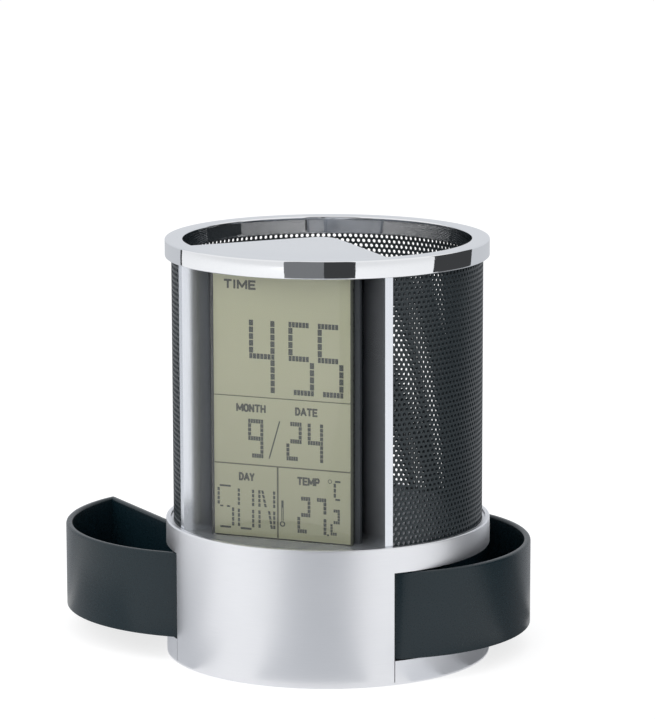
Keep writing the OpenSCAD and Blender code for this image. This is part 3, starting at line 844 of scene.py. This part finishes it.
@dataclass
class SwingDrawer:
    """A drawer shaped as a segment of the base's cylinder, turned out about its pin."""

    side: int
    open_deg: float
    radius: float = 48.3 * MM
    wall: float = 2.0 * MM
    floor: float = 1.8 * MM
    low: float = 7.5 * MM
    high: float = 33.1 * MM
    knuckle: float = 5.0 * MM
    knuckle_deg: float = 162.0
    chord_out: float = 13.19 * MM
    bore: float = 1.55 * MM
    boss: float = 2.6 * MM
    pivot_radius: float = 43.35 * MM
    pivot_deg: float = 50.61
    tip_deg: float = 171.03
    last_step: float = 0.05
    lip_round: float = 0.85 * MM
    corner_round: float = 1.4 * MM
    floor_round: float = 0.8 * MM
    corner_steps: int = 5
    floor_steps: int = 2
    arc_steps: int = 32
    wall_steps: int = 12
    neck_steps: int = 4
    end_steps: int = 9
    bore_sides: int = 24
    slack: float = 0.01 * MM
    corner_reach: float = 0.05 * MM
    bore_reach: float = 0.1 * MM
    fold: float = 0.7
    flat: float = 0.1

    def name(self) -> str:
        """Name of the body and node."""
        return "right_drawer" if self.side > 0 else "left_drawer"

    def pivot(self) -> Vector:
        """Place of the pin in plan."""
        return polar(self.pivot_radius, self.pivot_deg, 0.0)

    def chord(self) -> Matrix:
        """Works out how the straight wall stands.

        Returns:
            Its frame: X from the pin to the rear corner, Y towards the cup's axis.
        """
        pivot = self.pivot()
        reach = polar(self.radius, self.tip_deg, 0.0) - pivot
        turn = math.atan2(reach.y, reach.x) - math.asin(self.chord_out / reach.length)
        return Matrix.Translation(pivot) @ Matrix.Rotation(turn, 4, "Z")

    def plan(self, bm: Mesh) -> None:
        """Draws the floor plan as two joined faces: the tray, and the rounded end with its bore.

        The arc's last step is long, so that insetting the tray doesn't fold it at the tip.

        Args:
            bm: mesh to draw in.
        """
        turn = math.radians(self.pivot_deg)
        inward = Vector((-math.sin(turn), math.cos(turn), 0))
        back = Vector((math.cos(turn), math.sin(turn), 0))
        centre = Vector((0, 0, self.low))
        pivot = self.pivot() + centre
        slant = self.chord().to_3x3().inverted() @ inward
        corner = pivot + inward * (self.chord_out / slant.y)
        neck = pivot + inward * self.knuckle
        inner = pivot + inward * self.boss
        rear = pivot + back * self.boss
        outer = centre + back * self.boss - inward * math.sqrt(self.radius**2 - self.boss**2)
        tip = polar(self.radius, self.tip_deg, self.low)
        sweep = math.degrees(math.atan2(tip.y, tip.x) - math.atan2(outer.y, outer.x))
        tray = Outline(bm, inner).run(rear, 2).run(outer, 2)
        tray.arc(centre, sweep * (1 - self.last_step), self.arc_steps)
        tray.arc(centre, sweep * self.last_step, 1)
        tray.run(corner, self.wall_steps).run(neck, self.neck_steps).close().fill()
        end = Outline(bm, neck).run(inner).run(rear, 2).run(outer, 2)
        end.run(pivot - inward * self.knuckle).arc(pivot, -self.knuckle_deg, self.end_steps).close()
        hole = bmesh.ops.create_circle(bm, segments=self.bore_sides, radius=self.bore)["verts"]
        bmesh.ops.translate(bm, verts=hole, vec=pivot)
        bmesh.ops.triangle_fill(bm, use_beauty=True, edges=end.edges + edges_of(hole), normal=Z_AXIS)
        bmesh.ops.remove_doubles(bm, verts=bm.verts, dist=MERGE)

    def near(self, edge: Edge, point: Vector, reach: float) -> bool:
        """Whether both ends of an edge lie near a point in plan."""
        return all((v.co.xy - point.xy).length < reach for v in edge.verts)

    def build(self) -> None:
        """Makes the drawer closed on the right-hand side, then turns and mirrors it to its place."""
        work = Workpiece(self.name() + "_moulding")
        bm = work.bm
        self.plan(bm)
        lift(bm, list(bm.faces), self.high - self.low)
        bmesh.ops.recalc_face_normals(bm, faces=bm.faces)
        top = max((f for f in bm.faces if f.normal.z > 1 - self.flat), key=lambda f: f.calc_area())
        bmesh.ops.inset_region(bm, faces=[top], thickness=self.wall, use_even_offset=True)
        lift(bm, [top], self.low + self.floor - self.high)
        bmesh.ops.delete(bm, geom=[f for f in bm.faces if f is top], context="FACES_ONLY")
        work.tidy()
        tip = polar(self.radius, self.tip_deg, 0.0)
        corner = [e for e in bm.edges if self.near(e, tip, self.corner_reach)]
        work.round_off(corner, self.corner_round, self.corner_steps)
        pivot = self.pivot()
        lips = [
            e
            for e in bm.edges
            if all(v.co.z > self.high - self.slack for v in e.verts)
            and any(abs(f.normal.z) < self.flat for f in e.link_faces)
            and not self.near(e, pivot, self.bore + self.bore_reach)
        ]
        work.round_off(lips, self.lip_round, EDGE_STEPS)
        floor_edges = [
            e
            for e in bm.edges
            if all(abs(v.co.z - self.low - self.floor) < self.slack for v in e.verts)
            and e.calc_face_angle(0.0) > self.fold
        ]
        work.round_off(floor_edges, self.floor_round, self.floor_steps)
        swing = Matrix.Rotation(-math.radians(self.open_deg), 3, "Z")
        bmesh.ops.rotate(bm, verts=bm.verts, cent=pivot, matrix=swing)
        if self.side < 0:
            bmesh.ops.scale(bm, verts=bm.verts, vec=(-1, 1, 1))
        work.tidy()
        work.place(DRAWER, "drawer_black", self.name(), (self.name(),), smooth=SMOOTH_DEG)


class Bar(Enum):
    """The bars of a seven-bar figure."""

    TOP = "a"
    UPPER_RIGHT = "b"
    LOWER_RIGHT = "c"
    BOTTOM = "d"
    LOWER_LEFT = "e"
    UPPER_LEFT = "f"
    MIDDLE = "g"


FIGURES: dict[str, str] = {"2": "abged", "4": "fgbc", "5": "afgcd", "7": "abc", "9": "abcdfg"}
# Each row with its height as a share of the figure's, and the columns that meet its ends.
ROWS: tuple[tuple[Bar, float, Bar, Bar], ...] = (
    (Bar.TOP, 1.0, Bar.UPPER_LEFT, Bar.UPPER_RIGHT),
    (Bar.MIDDLE, 0.5, Bar.UPPER_LEFT, Bar.UPPER_RIGHT),
    (Bar.BOTTOM, 0.0, Bar.LOWER_LEFT, Bar.LOWER_RIGHT),
)
# Each column with its place as a share of the figure's width, and the row at its outer end.
COLUMNS: tuple[tuple[Bar, float, Bar], ...] = (
    (Bar.UPPER_LEFT, 0.0, Bar.TOP),
    (Bar.UPPER_RIGHT, 1.0, Bar.TOP),
    (Bar.LOWER_LEFT, 0.0, Bar.BOTTOM),
    (Bar.LOWER_RIGHT, 1.0, Bar.BOTTOM),
)

# Each letter's bars by both ends of their middle lines, across and up, in shares of the letter's box.
LETTERS: dict[str, tuple[Box, ...]] = {
    "A": ((0, 0, 0.5, 1), (1, 0, 0.5, 1), (0.2, 0.3, 0.8, 0.3)),
    "D": ((0, 0, 0, 1), (0, 1, 0.6, 1), (0.6, 1, 1, 0.7))
    + ((1, 0.7, 1, 0.3), (1, 0.3, 0.6, 0), (0.6, 0, 0, 0)),
    "E": ((0, 0, 0, 1), (0, 1, 1, 1), (0, 0.5, 0.85, 0.5), (0, 0, 1, 0)),
    "H": ((0, 0, 0, 1), (1, 0, 1, 1), (0, 0.5, 1, 0.5)),
    "I": ((0.5, 0, 0.5, 1),),
    "M": ((0, 0, 0, 1), (1, 0, 1, 1), (0, 1, 0.5, 0.2), (1, 1, 0.5, 0.2)),
    "N": ((0, 0, 0, 1), (1, 0, 1, 1), (0, 1, 1, 0)),
    "O": ((0, 0.2, 0, 0.8), (0, 0.8, 0.3, 1), (0.3, 1, 0.7, 1), (0.7, 1, 1, 0.8))
    + ((1, 0.8, 1, 0.2), (1, 0.2, 0.7, 0), (0.7, 0, 0.3, 0), (0.3, 0, 0, 0.2)),
    "P": ((0, 0, 0, 1), (0, 1, 0.8, 1), (0.8, 1, 1, 0.8))
    + ((1, 0.8, 1, 0.65), (1, 0.65, 0.8, 0.45), (0.8, 0.45, 0, 0.45)),
    "T": ((0, 1, 1, 1), (0.5, 0, 0.5, 1)),
    "Y": ((0, 1, 0.5, 0.45), (1, 1, 0.5, 0.45), (0.5, 0, 0.5, 0.45)),
}
LETTER_WIDTHS: dict[str, float] = {"I": 0.15, "M": 1.2, "A": 1.0, "T": 0.9}
LETTER_WIDTH = 0.8  # width of every other letter
LETTER_GAP = 0.42
LETTER_WEIGHT = 0.23  # width of a bar, in letter heights
BAR_OVER = 0.7  # length that a bar's two ends add, in bar widths


def split(start: float, end: float, count: int, gap: float) -> list[tuple[float, float]]:
    """Splits a length into equal blocks with gaps between them.

    Args:
        start: where the length begins.
        end: where it ends.
        count: number of blocks.
        gap: what is taken off both ends of a block, as a share of the pitch.

    Returns:
        Both ends of each block.
    """
    pitch = (end - start) / count
    return [(start + (i + gap) * pitch, start + (i + 1 - gap) * pitch) for i in range(count)]


@dataclass
class Figure:
    """A figure whose bars are rows and columns of small blocks.

    Sizes and places are in millimetres in the display's plane.
    """

    sign: str
    left: float
    bottom: float
    width: float
    height: float
    column: float
    row: float
    dashes: int
    blocks: int
    corner_gap: float = 0.25
    row_trim: float = 0.03
    row_gap: float = 0.075
    column_gap: float = 0.065

    def has(self, bar: Bar) -> bool:
        """Whether the figure shows a bar."""
        return bar.value in FIGURES[self.sign]

    def rows(self) -> list[tuple[float, float, float]]:
        """Finds the rows that show.

        Returns:
            Start, end and lower edge of each.
        """
        right = self.left + self.width
        step = self.column + self.corner_gap
        found = []
        for bar, share, left_bar, right_bar in ROWS:
            if self.has(bar):
                start = self.left if self.has(left_bar) else self.left + step
                end = right if self.has(right_bar) else right - step
                found.append((start, end, self.bottom + (self.height - self.row) * share))
        return found

    def columns(self) -> list[tuple[float, float, float, int]]:
        """Finds the columns that show.

        Returns:
            Left edge, lower edge, upper edge and number of dashes of each.
        """
        middle = self.bottom + self.height / 2
        top = self.bottom + self.height - self.row * self.has(Bar.TOP)
        foot = self.bottom + self.row * self.has(Bar.BOTTOM)
        spans = {Bar.TOP: (middle + self.row / 2, top), Bar.BOTTOM: (foot, middle - self.row / 2)}
        found = []
        for bar, share, row in COLUMNS:
            if self.has(bar):
                x = self.left + (self.width - self.column) * share
                found.append((x, *spans[row], self.dashes + (not self.has(row))))
        return found

    def boxes(self) -> list[Box]:
        """Lays out every block.

        Returns:
            Left, lower, right and upper edge of each.
        """
        found = []
        for start, end, z in self.rows():
            count = max(2, round(self.blocks * (end - start) / self.width))
            low, high = z + self.row_trim, z + self.row - self.row_trim
            found += [(a, low, b, high) for a, b in split(start, end, count, self.row_gap)]
        for x, low, high, count in self.columns():
            found += [(x, a, x + self.column, b) for a, b in split(low, high, count, self.column_gap)]
        return found


FIGURE_GROUPS: dict[str, tuple[Figure, ...]] = {
    "time_figures": (
        Figure("4", -11.15, 83.4, 8.0, 21.4, 1.3, 1.6, 4, 7),
        Figure("5", 1.15, 83.4, 7.95, 21.4, 1.3, 1.6, 4, 7),
        Figure("5", 10.23, 83.4, 7.95, 21.4, 1.3, 1.6, 4, 7),
    ),
    "date_figures": (
        Figure("9", -11.6, 64.0, 4.8, 11.5, 0.95, 1.3, 3, 6),
        Figure("2", 0.4, 64.0, 4.8, 11.5, 0.95, 1.3, 3, 6),
        Figure("4", 7.05, 63.95, 4.8, 11.5, 0.95, 1.3, 3, 6),
    ),
    "temperature_figures": (
        Figure("2", 3.75, 42.75, 4.1, 10.9, 0.88, 1.2, 3, 5),
        Figure("7", 8.7, 42.75, 4.1, 10.9, 0.88, 1.2, 3, 5),
        Figure("2", 14.05, 42.85, 2.95, 7.8, 0.7, 0.95, 3, 4),
    ),
}
# Plain bars: left, lower, right and upper edge, and how far the top leans to the right.
Strokes = tuple[tuple[float, ...], ...]
POINT_BARS: dict[str, Strokes] = {"temperature_figures": ((13.0, 42.55, 13.6, 43.1),)}
WEEKDAY_BARS: Strokes = (
    (-20.7, 54.75, -17.2, 55.3),
    (-20.6, 48.7, -19.6, 49.2),
    (-18.5, 48.7, -17.4, 49.2),
    (-20.6, 42.45, -17.2, 43.05),
    (-14.1, 42.4, -10.7, 43.0),
)
SIGN_BARS: Strokes = (
    (-5.2, 64.1, -4.8, 75.4, 3.35),
    (-1.25, 49.8, -0.55, 52.0),
    (-1.25, 46.0, -1.0, 49.8),
    (-0.8, 46.0, -0.55, 49.8),
    (15.5, 58.55, 17.2, 59.1),
    (15.6, 53.25, 17.1, 53.8),
)
RULE_BARS: Strokes = (
    (-22.2, 81.85, 20.4, 82.15),
    (-22.2, 61.65, 20.4, 62.05),
    (-2.65, 40.7, -2.1, 61.7),
)
# Dashed strokes: left edge, foot, head, number of dashes and lean.
WEEKDAY_DASHES: Strokes = (
    (-21.4, 49.3, 54.6, 4),
    (-16.85, 43.1, 48.8, 4),
    *((x, 49.4, 54.6, 4) for x in (-15.0, -10.5, -8.5, -3.85)),
    *((x, 43.1, 48.6, 4) for x in (-15.0, -10.5, -8.5, -3.85)),
    (-6.5, 49.4, 54.6, 4, -1.1),
    (-4.6, 43.1, 48.6, 4, -0.9),
)
SIGN_DASHES: Strokes = ((15.1, 54.0, 58.4, 3),)
# Hoops: place across and up, outer and inner radius.
SIGN_HOOPS: Strokes = ((-0.9, 45.0, 0.85, 0.48), (13.95, 58.75, 0.62, 0.45))
# Labels: text, left and right edge, lower edge and height of the capitals.
LABELS: tuple[tuple[str, float, float, float, float], ...] = (
    ("TIME", -19.0, -8.9, 113.4, 2.8),
    ("MONTH", -15.3, -6.0, 77.4, 2.45),
    ("DATE", 3.15, 10.2, 77.4, 2.45),
    ("DAY", -14.6, -9.65, 56.95, 2.45),
    ("TEMP", 3.7, 10.75, 56.95, 2.45),
)


@dataclass
class DisplayFace:
    """What shows on the display glass: figures, letters, rules and labels.

    Places are in millimetres in the display's plane; the face lies just in front of the glass.
    """

    face_y: float = -33.0
    left: float = -22.04
    right: float = 20.95
    low: float = 40.7
    high: float = 122.7
    film: float = 0.05
    plate: float = 1.0
    plate_step: float = 0.2
    lens_over: float = 0.35
    lens_front: float = -2.3
    lens_back: float = -0.3
    lens_low: float = 40.4
    lens_high: float = 123.0
    lens_round: float = 0.25
    edge_front: float = -2.0
    edge_back: float = -0.35
    edge_trim: float = 0.1
    edge_start: float = 0.01
    edge_end: float = 0.04
    ink: float = 0.04
    ink_back: float = 0.005
    dash_width: float = 0.7
    dash_gap: float = 0.14
    shift_x: float = 0.29
    shift_z: float = 0.12
    hoop_sides: int = 20

    def point(self, x: float, behind: float, z: float) -> Vector:
        """A point at a distance behind the display's plane."""
        return Vector((x, self.face_y + behind, z)) * MM

    def printed(self, x: float, before: float, z: float) -> Vector:
        """A point of the print at a distance before the display's plane."""
        return self.point(x + self.shift_x, -before, z + self.shift_z)

    def patch(
        self, work: Workpiece, x0: float, z0: float, x1: float, z1: float, lean: float = 0.0
    ) -> None:
        """Adds one thin block.

        Args:
            work: mesh to add it to.
            x0: left edge.
            z0: lower edge.
            x1: right edge.
            z1: upper edge.
            lean: how far its top is moved to the right.
        """
        low = self.printed(x0, self.ink, z0)
        high = self.printed(x1, self.ink_back, z1)
        verts = work.block(low, high)
        top = [v for v in verts if v.co.z > (low.z + high.z) / 2]
        bmesh.ops.translate(work.bm, verts=top, vec=(lean * MM, 0, 0))

    def dashed(
        self, work: Workpiece, x: float, low: float, high: float, count: int, lean: float = 0.0
    ) -> None:
        """Adds a thin column of dashes.

        Args:
            work: mesh to add it to.
            x: left edge at its foot.
            low: height of its foot.
            high: height of its head.
            count: number of dashes.
            lean: how far its head is moved to the right.
        """
        gap = self.dash_gap * count / (high - low)
        for i, (foot, head) in enumerate(split(low, high, count, gap)):
            left = x + lean * i / count
            self.patch(work, left, foot, left + self.dash_width, head, lean / count)

    def hoop(self, work: Workpiece, x: float, z: float, outer: float, inner: float) -> None:
        """Adds a thin hoop.

        Args:
            work: mesh to add it to.
            x: its middle, across.
            z: its middle, up.
            outer: its outer radius.
            inner: radius of its bore.
        """
        made = bmesh.new()
        for radius in (outer, inner):
            bmesh.ops.create_circle(made, segments=self.hoop_sides, radius=radius * MM)
        bmesh.ops.bridge_loops(made, edges=edges_of(made.verts))
        lift(made, list(made.faces), (self.ink - self.ink_back) * MM)
        bmesh.ops.recalc_face_normals(made, faces=made.faces)
        spot = Matrix.Translation(self.printed(x, self.ink_back, z))
        bmesh.ops.transform(made, verts=made.verts, matrix=spot @ Matrix.Rotation(math.pi / 2, 4, "X"))
        mesh = settle(made, "hoop")
        work.bm.from_mesh(mesh)
        bpy.data.meshes.remove(mesh)

    def print_piece(
        self,
        name: str,
        finish: Finish,
        bars: Strokes,
        dashes: Strokes = (),
        hoops: Strokes = (),
    ) -> None:
        """Makes one piece of the print.

        Args:
            name: the piece's name.
            finish: its ink.
            bars: its plain bars.
            dashes: its dashed strokes.
            hoops: its hoops.
        """
        work = Workpiece(name)
        for add, strokes in ((self.patch, bars), (self.dashed, dashes), (self.hoop, hoops)):
            for stroke in strokes:
                add(work, *stroke)
        work.place(finish, "display_film")

    def glass(self) -> None:
        """Makes the two glass plates and the film on the front one."""
        film = Workpiece("display_film")
        plates = Workpiece("display_plates")
        for work, start, end, trim in (
            (film, 0.0, self.film, 0.0),
            (plates, self.film, self.plate, 0.0),
            (plates, self.plate, 2 * self.plate, self.plate_step),
        ):
            foot = self.point(self.left, start, self.low + trim)
            work.block(foot, self.point(self.right, end, self.high - trim))
        film.place(FILM, "display_film", STAND, ("display_glass",))
        plates.place(PLATE, "display_film", STAND, ("display_glass",))

    def lens(self) -> None:
        """Makes the clear lens in front of the glass, and thin dark strips on its two side faces."""
        work = Workpiece("clear_window")
        left, right = self.left - self.lens_over, self.right + self.lens_over
        low, high = self.lens_low, self.lens_high
        work.block(self.point(left, self.lens_front, low), self.point(right, self.lens_back, high))
        limit = (self.face_y + self.edge_front) * MM
        front = [e for e in work.bm.edges if all(v.co.y < limit for v in e.verts)]
        work.round_off(front, self.lens_round * MM, EDGE_STEPS)
        work.place(LENS, "clear_lens", STAND, ("display_lens",), smooth=SMOOTH_DEG)
        sides = Workpiece("window_edges")
        low, high = low + self.edge_trim, high - self.edge_trim
        for start, end in (
            (left - self.edge_end, left - self.edge_start),
            (right + self.edge_start, right + self.edge_end),
        ):
            sides.block(self.point(start, self.edge_front, low), self.point(end, self.edge_back, high))
        sides.place(BORDER, "clear_lens")

    def bar(self, work: Workpiece, start: Vector, end: Vector, weight: float) -> None:
        """Adds one straight bar of a letter.

        Args:
            work: mesh to add it to.
            start: first end of its middle line, across and up.
            end: last end.
            weight: width of the bar.
        """
        run = end - start
        middle = (start + end) / 2
        spot = Matrix.Translation(self.printed(middle.x, self.ink / 2, middle.y))
        turn = Matrix.Rotation(-math.atan2(run.y, run.x), 4, "Y")
        size = Vector((run.length + weight * BAR_OVER, self.ink, weight)) * MM
        bmesh.ops.create_cube(work.bm, size=1.0, matrix=spot @ turn @ Matrix.Diagonal((*size, 1.0)))

    def label(self, text: str, left: float, right: float, bottom: float, height: float) -> None:
        """Makes one printed label, fitted to a box.

        Args:
            text: the label.
            left: left edge.
            right: right edge.
            bottom: lower edge of the capitals.
            height: height of the capitals.
        """
        work = Workpiece("label_" + text.lower())
        weight = height * LETTER_WEIGHT
        shares = [LETTER_WIDTHS.get(letter, LETTER_WIDTH) for letter in text]
        unit = (right - left - weight) / (sum(shares) + LETTER_GAP * (len(text) - 1))
        spot = Vector((left, bottom)) + Vector((weight, weight)) / 2
        for letter, share in zip(text, shares):
            size = Vector((share * unit, height - weight))
            for x0, z0, x1, z1 in LETTERS[letter]:
                self.bar(work, spot + Vector((x0, z0)) * size, spot + Vector((x1, z1)) * size, weight)
            spot.x += (share + LETTER_GAP) * unit
        work.place(LABEL, "display_film")

    def build(self) -> None:
        """Makes the glass, the lens and everything that shows between them."""
        self.glass()
        self.lens()
        for name, figures in FIGURE_GROUPS.items():
            blocks = tuple(box for figure in figures for box in figure.boxes())
            self.print_piece(name, INK, blocks + POINT_BARS.get(name, ()))
        self.print_piece("weekday_letters", INK, WEEKDAY_BARS, WEEKDAY_DASHES)
        self.print_piece("display_signs", INK, SIGN_BARS, SIGN_DASHES, SIGN_HOOPS)
        self.print_piece("display_rules", RULE, RULE_BARS)
        for label in LABELS:
            self.label(*label)


@dataclass
class PhotoView:
    """The camera, at the photograph's place and angle, for a frame of 655 by 720."""

    away: float = 1.0818
    height: float = 0.2854
    azimuth_deg: float = CAMERA_DEG
    pitch_deg: float = 10.346
    roll_deg: float = -0.137
    focal_mm: float = 184.685
    sensor_mm: float = 36.0
    clip_start: float = 0.01

    def build(self) -> None:
        """Places the camera: a level one looking along +Y is turned, pitched and rolled."""
        data = bpy.data.cameras.new("photo_view")
        data.sensor_fit = "VERTICAL"
        data.sensor_height = self.sensor_mm
        data.lens = self.focal_mm
        data.clip_start = self.clip_start
        camera = put("photo_view", data)
        spot = Matrix.Translation(polar(self.away, self.azimuth_deg, self.height))
        for degrees, axis in ((self.azimuth_deg, "Z"), (90.0 - self.pitch_deg, "X"), (self.roll_deg, "Z")):
            spot = spot @ Matrix.Rotation(math.radians(degrees), 4, axis)
        camera.matrix_world = spot
        bpy.context.scene.camera = camera


# What Studio.lamp is told for each lamp, and Studio.card for each card.
LAMPS: tuple[tuple[str, float, float, float, float, float], ...] = (
    ("lamp_left", -50.0, 0.9, 0.8, 0.8, 3.0),
    ("lamp_right", 80.0, 1.0, 0.9, 0.8, 2.0),
    ("lamp_top", 0.0, 0.05, 1.2, 1.0, 2.0),
    ("lamp_front", 5.0, 1.1, 0.4, 0.6, 3.5),
)
# The cards that lie on the table are seen only in reflections, as darker patches and a dark line on the
# floor: painted shade in reflections.
CARDS: tuple[tuple[str, float, float, float, float, float, float, float], ...] = (
    ("card_grey", -28.7, -2.2, 0.45, 0.45, 0.0, 0.9, 0.19),
    ("card_dark", -2.2, 18.6, 0.45, 0.45, 0.0, 0.9, 0.048),
    ("card_table", -29.0, 15.5, 0.053, 0.45, 0.0005, 0.0005, 0.6),
    ("card_side", 77.0, 118.0, 0.5, 0.5, 0.0, 0.35, 0.05),
    ("card_side_table", 82.0, 118.0, 0.08, 0.5, 0.0005, 0.0005, 0.24),
    ("card_lip_near", 30.0, 44.0, 0.0486, 0.08, 0.0005, 0.0005, 0.66),
    ("card_lip_middle", 44.0, 60.0, 0.0486, 0.08, 0.0005, 0.0005, 0.4),
    ("card_lip_far", 60.0, 104.0, 0.0486, 0.08, 0.0005, 0.0005, 0.2),
    ("card_left_table", 245.0, 284.0, 0.0486, 0.2, 0.0005, 0.0005, 0.5),
    ("card_lip_left", 268.0, 305.0, 0.0486, 0.08, 0.0005, 0.0005, 0.55),
    ("card_line", 236.0, 238.5, 0.5, 2.0, 0.001, 0.001, 0.05),
    ("card_back", 118.0, 239.0, 2.1, 2.1, 0.0, 1.8, 0.7),
    ("card_back_table", 118.0, 238.0, 0.11, 2.0, 0.0005, 0.0005, 0.6),
)


@dataclass
class Studio:
    """A pale floor, soft lamps and the cards that polished metal mirrors."""

    floor_size: float = 12.0
    floor_grey: Colour = (0.9, 0.9, 0.9)
    floor_glow: float = 1.24
    floor_sheen: Colour = (0.94, 0.945, 0.96)
    floor_share: float = 0.6
    light_colour: Colour = (0.97, 0.985, 1.0)
    light: float = 0.75
    mirror_colour: Colour = (0.985, 0.99, 1.0)
    mirror: float = 0.93
    card_tint: Colour = (0.98, 1.01, 1.06)
    aim: float = 0.06
    card_step: float = 3.0
    card_steps: int = 4

    @staticmethod
    def prop(name: str, bm: Mesh) -> tuple[Piece, NodeBench]:
        """Puts a mesh on the stage with a material of its own.

        Args:
            name: name of the object and its material.
            bm: the mesh, which is used up.

        Returns:
            The object and the material's empty bench.
        """
        thing = put(name, settle(bm, name))
        material = bpy.data.materials.new(name)
        thing.data.materials.append(material)
        return thing, NodeBench(material)

    def floor(self) -> None:
        """Lays the floor, which keeps the object's shadow and is clear from below."""
        bm = bmesh.new()
        bmesh.ops.create_grid(bm, x_segments=1, y_segments=1, size=self.floor_size / 2)
        _, bench = self.prop("floor", bm)
        rays = bench.add("LightPath").outputs
        seen = bench.calc("MULTIPLY", rays["Is Camera Ray"], self.floor_share)
        glossy = bench.calc("MULTIPLY", rays["Is Glossy Ray"], self.floor_share)
        plain = bench.add("BsdfDiffuse", (*self.floor_grey, 1.0))
        glow = bench.add("Emission", (1.0, 1.0, 1.0, 1.0), self.floor_glow)
        sheen = bench.add("Emission", (*self.floor_sheen, 1.0))
        shown = bench.add("MixShader", seen, plain, glow)
        mirrored = bench.add("MixShader", glossy, shown, sheen)
        below = bench.add("NewGeometry").outputs["Backfacing"]
        sided = bench.add("MixShader", below, mirrored, bench.add("BsdfTransparent"))
        bench.add("OutputMaterial", sided)

    def world(self) -> None:
        """Sets the surroundings: white to the camera and to mirrors, softer as light."""
        world = bpy.data.worlds.new("studio")
        bpy.context.scene.world = world
        bench = NodeBench(world)
        light = bench.add("Background", (*self.light_colour, 1.0), self.light)
        mirrored = bench.add("Background", (*self.mirror_colour, 1.0), self.mirror)
        shown = bench.add("Background", (1.0, 1.0, 1.0, 1.0), 1.0)
        rays = bench.add("LightPath").outputs
        around = bench.add("MixShader", rays["Is Glossy Ray"], light, mirrored)
        bench.add("OutputWorld", bench.add("MixShader", rays["Is Camera Ray"], around, shown))

    def lamp(
        self, name: str, azimuth: float, away: float, height: float, size: float, power: float
    ) -> None:
        """Hangs a soft square lamp that faces the object.

        Args:
            name: the lamp's name.
            azimuth: degrees from the front towards +X.
            away: distance from the axis.
            height: height above the floor.
            size: side of the lamp.
            power: light in watts.
        """
        data = bpy.data.lights.new(name, "AREA")
        data.size = size
        data.energy = power
        lamp = put(name, data)
        lamp.location = polar(away, azimuth, height)
        aim = Vector((0, 0, self.aim)) - lamp.location
        lamp.rotation_euler = aim.to_track_quat("-Z", "Y").to_euler()
        lamp.visible_glossy = False

    def card(
        self,
        name: str,
        start: float,
        end: float,
        near: float,
        far: float,
        low: float,
        high: float,
        tone: float,
    ) -> None:
        """Sets a curved card round the object, upright or lying, that only mirrors see.

        Args:
            name: the card's name.
            start: first azimuth in degrees, counted from the camera's side towards its right.
            end: last azimuth.
            near: distance of the lower edge from the axis.
            far: distance of the upper edge from the axis.
            low: height of the lower edge.
            high: height of the upper edge.
            tone: brightness.
        """
        bm = bmesh.new()
        foot = bm.verts.new(polar(near, start + CAMERA_DEG, low))
        head = bm.verts.new(polar(far, start + CAMERA_DEG, high))
        edge = bm.edges.new((foot, head))
        steps = max(self.card_steps, int((end - start) / self.card_step))
        spin(bm, [foot, head, edge], math.radians(end - start), steps)
        card, bench = self.prop(name, bm)
        for ray in ("camera", "diffuse", "shadow", "transmission", "volume_scatter"):
            setattr(card, "visible_" + ray, False)
        bench.add("OutputMaterial", bench.add("Emission", (*(tone * c for c in self.card_tint), 1.0)))

    def build(self) -> None:
        """Sets up floor, surroundings, lamps and cards."""
        self.floor()
        self.world()
        for lamp in LAMPS:
            self.lamp(*lamp)
        for card in CARDS:
            self.card(*card)


def main() -> None:
    """Builds the camera, the dressed pieces and the studio in order."""
    logging.basicConfig(level=logging.INFO, format="%(message)s")
    bpy.context.scene.view_settings.view_transform = "Standard"
    PhotoView().build()
    Dresser.dress_nodes()
    PerforatedSheet().build()
    PolishedRing().build()
    BaseEdge().build()
    SwingDrawer(side=-1, open_deg=60.5).build()
    SwingDrawer(side=1, open_deg=18.0).build()
    DisplayFace().build()
    Studio().build()


if __name__ == "__main__":
    main()
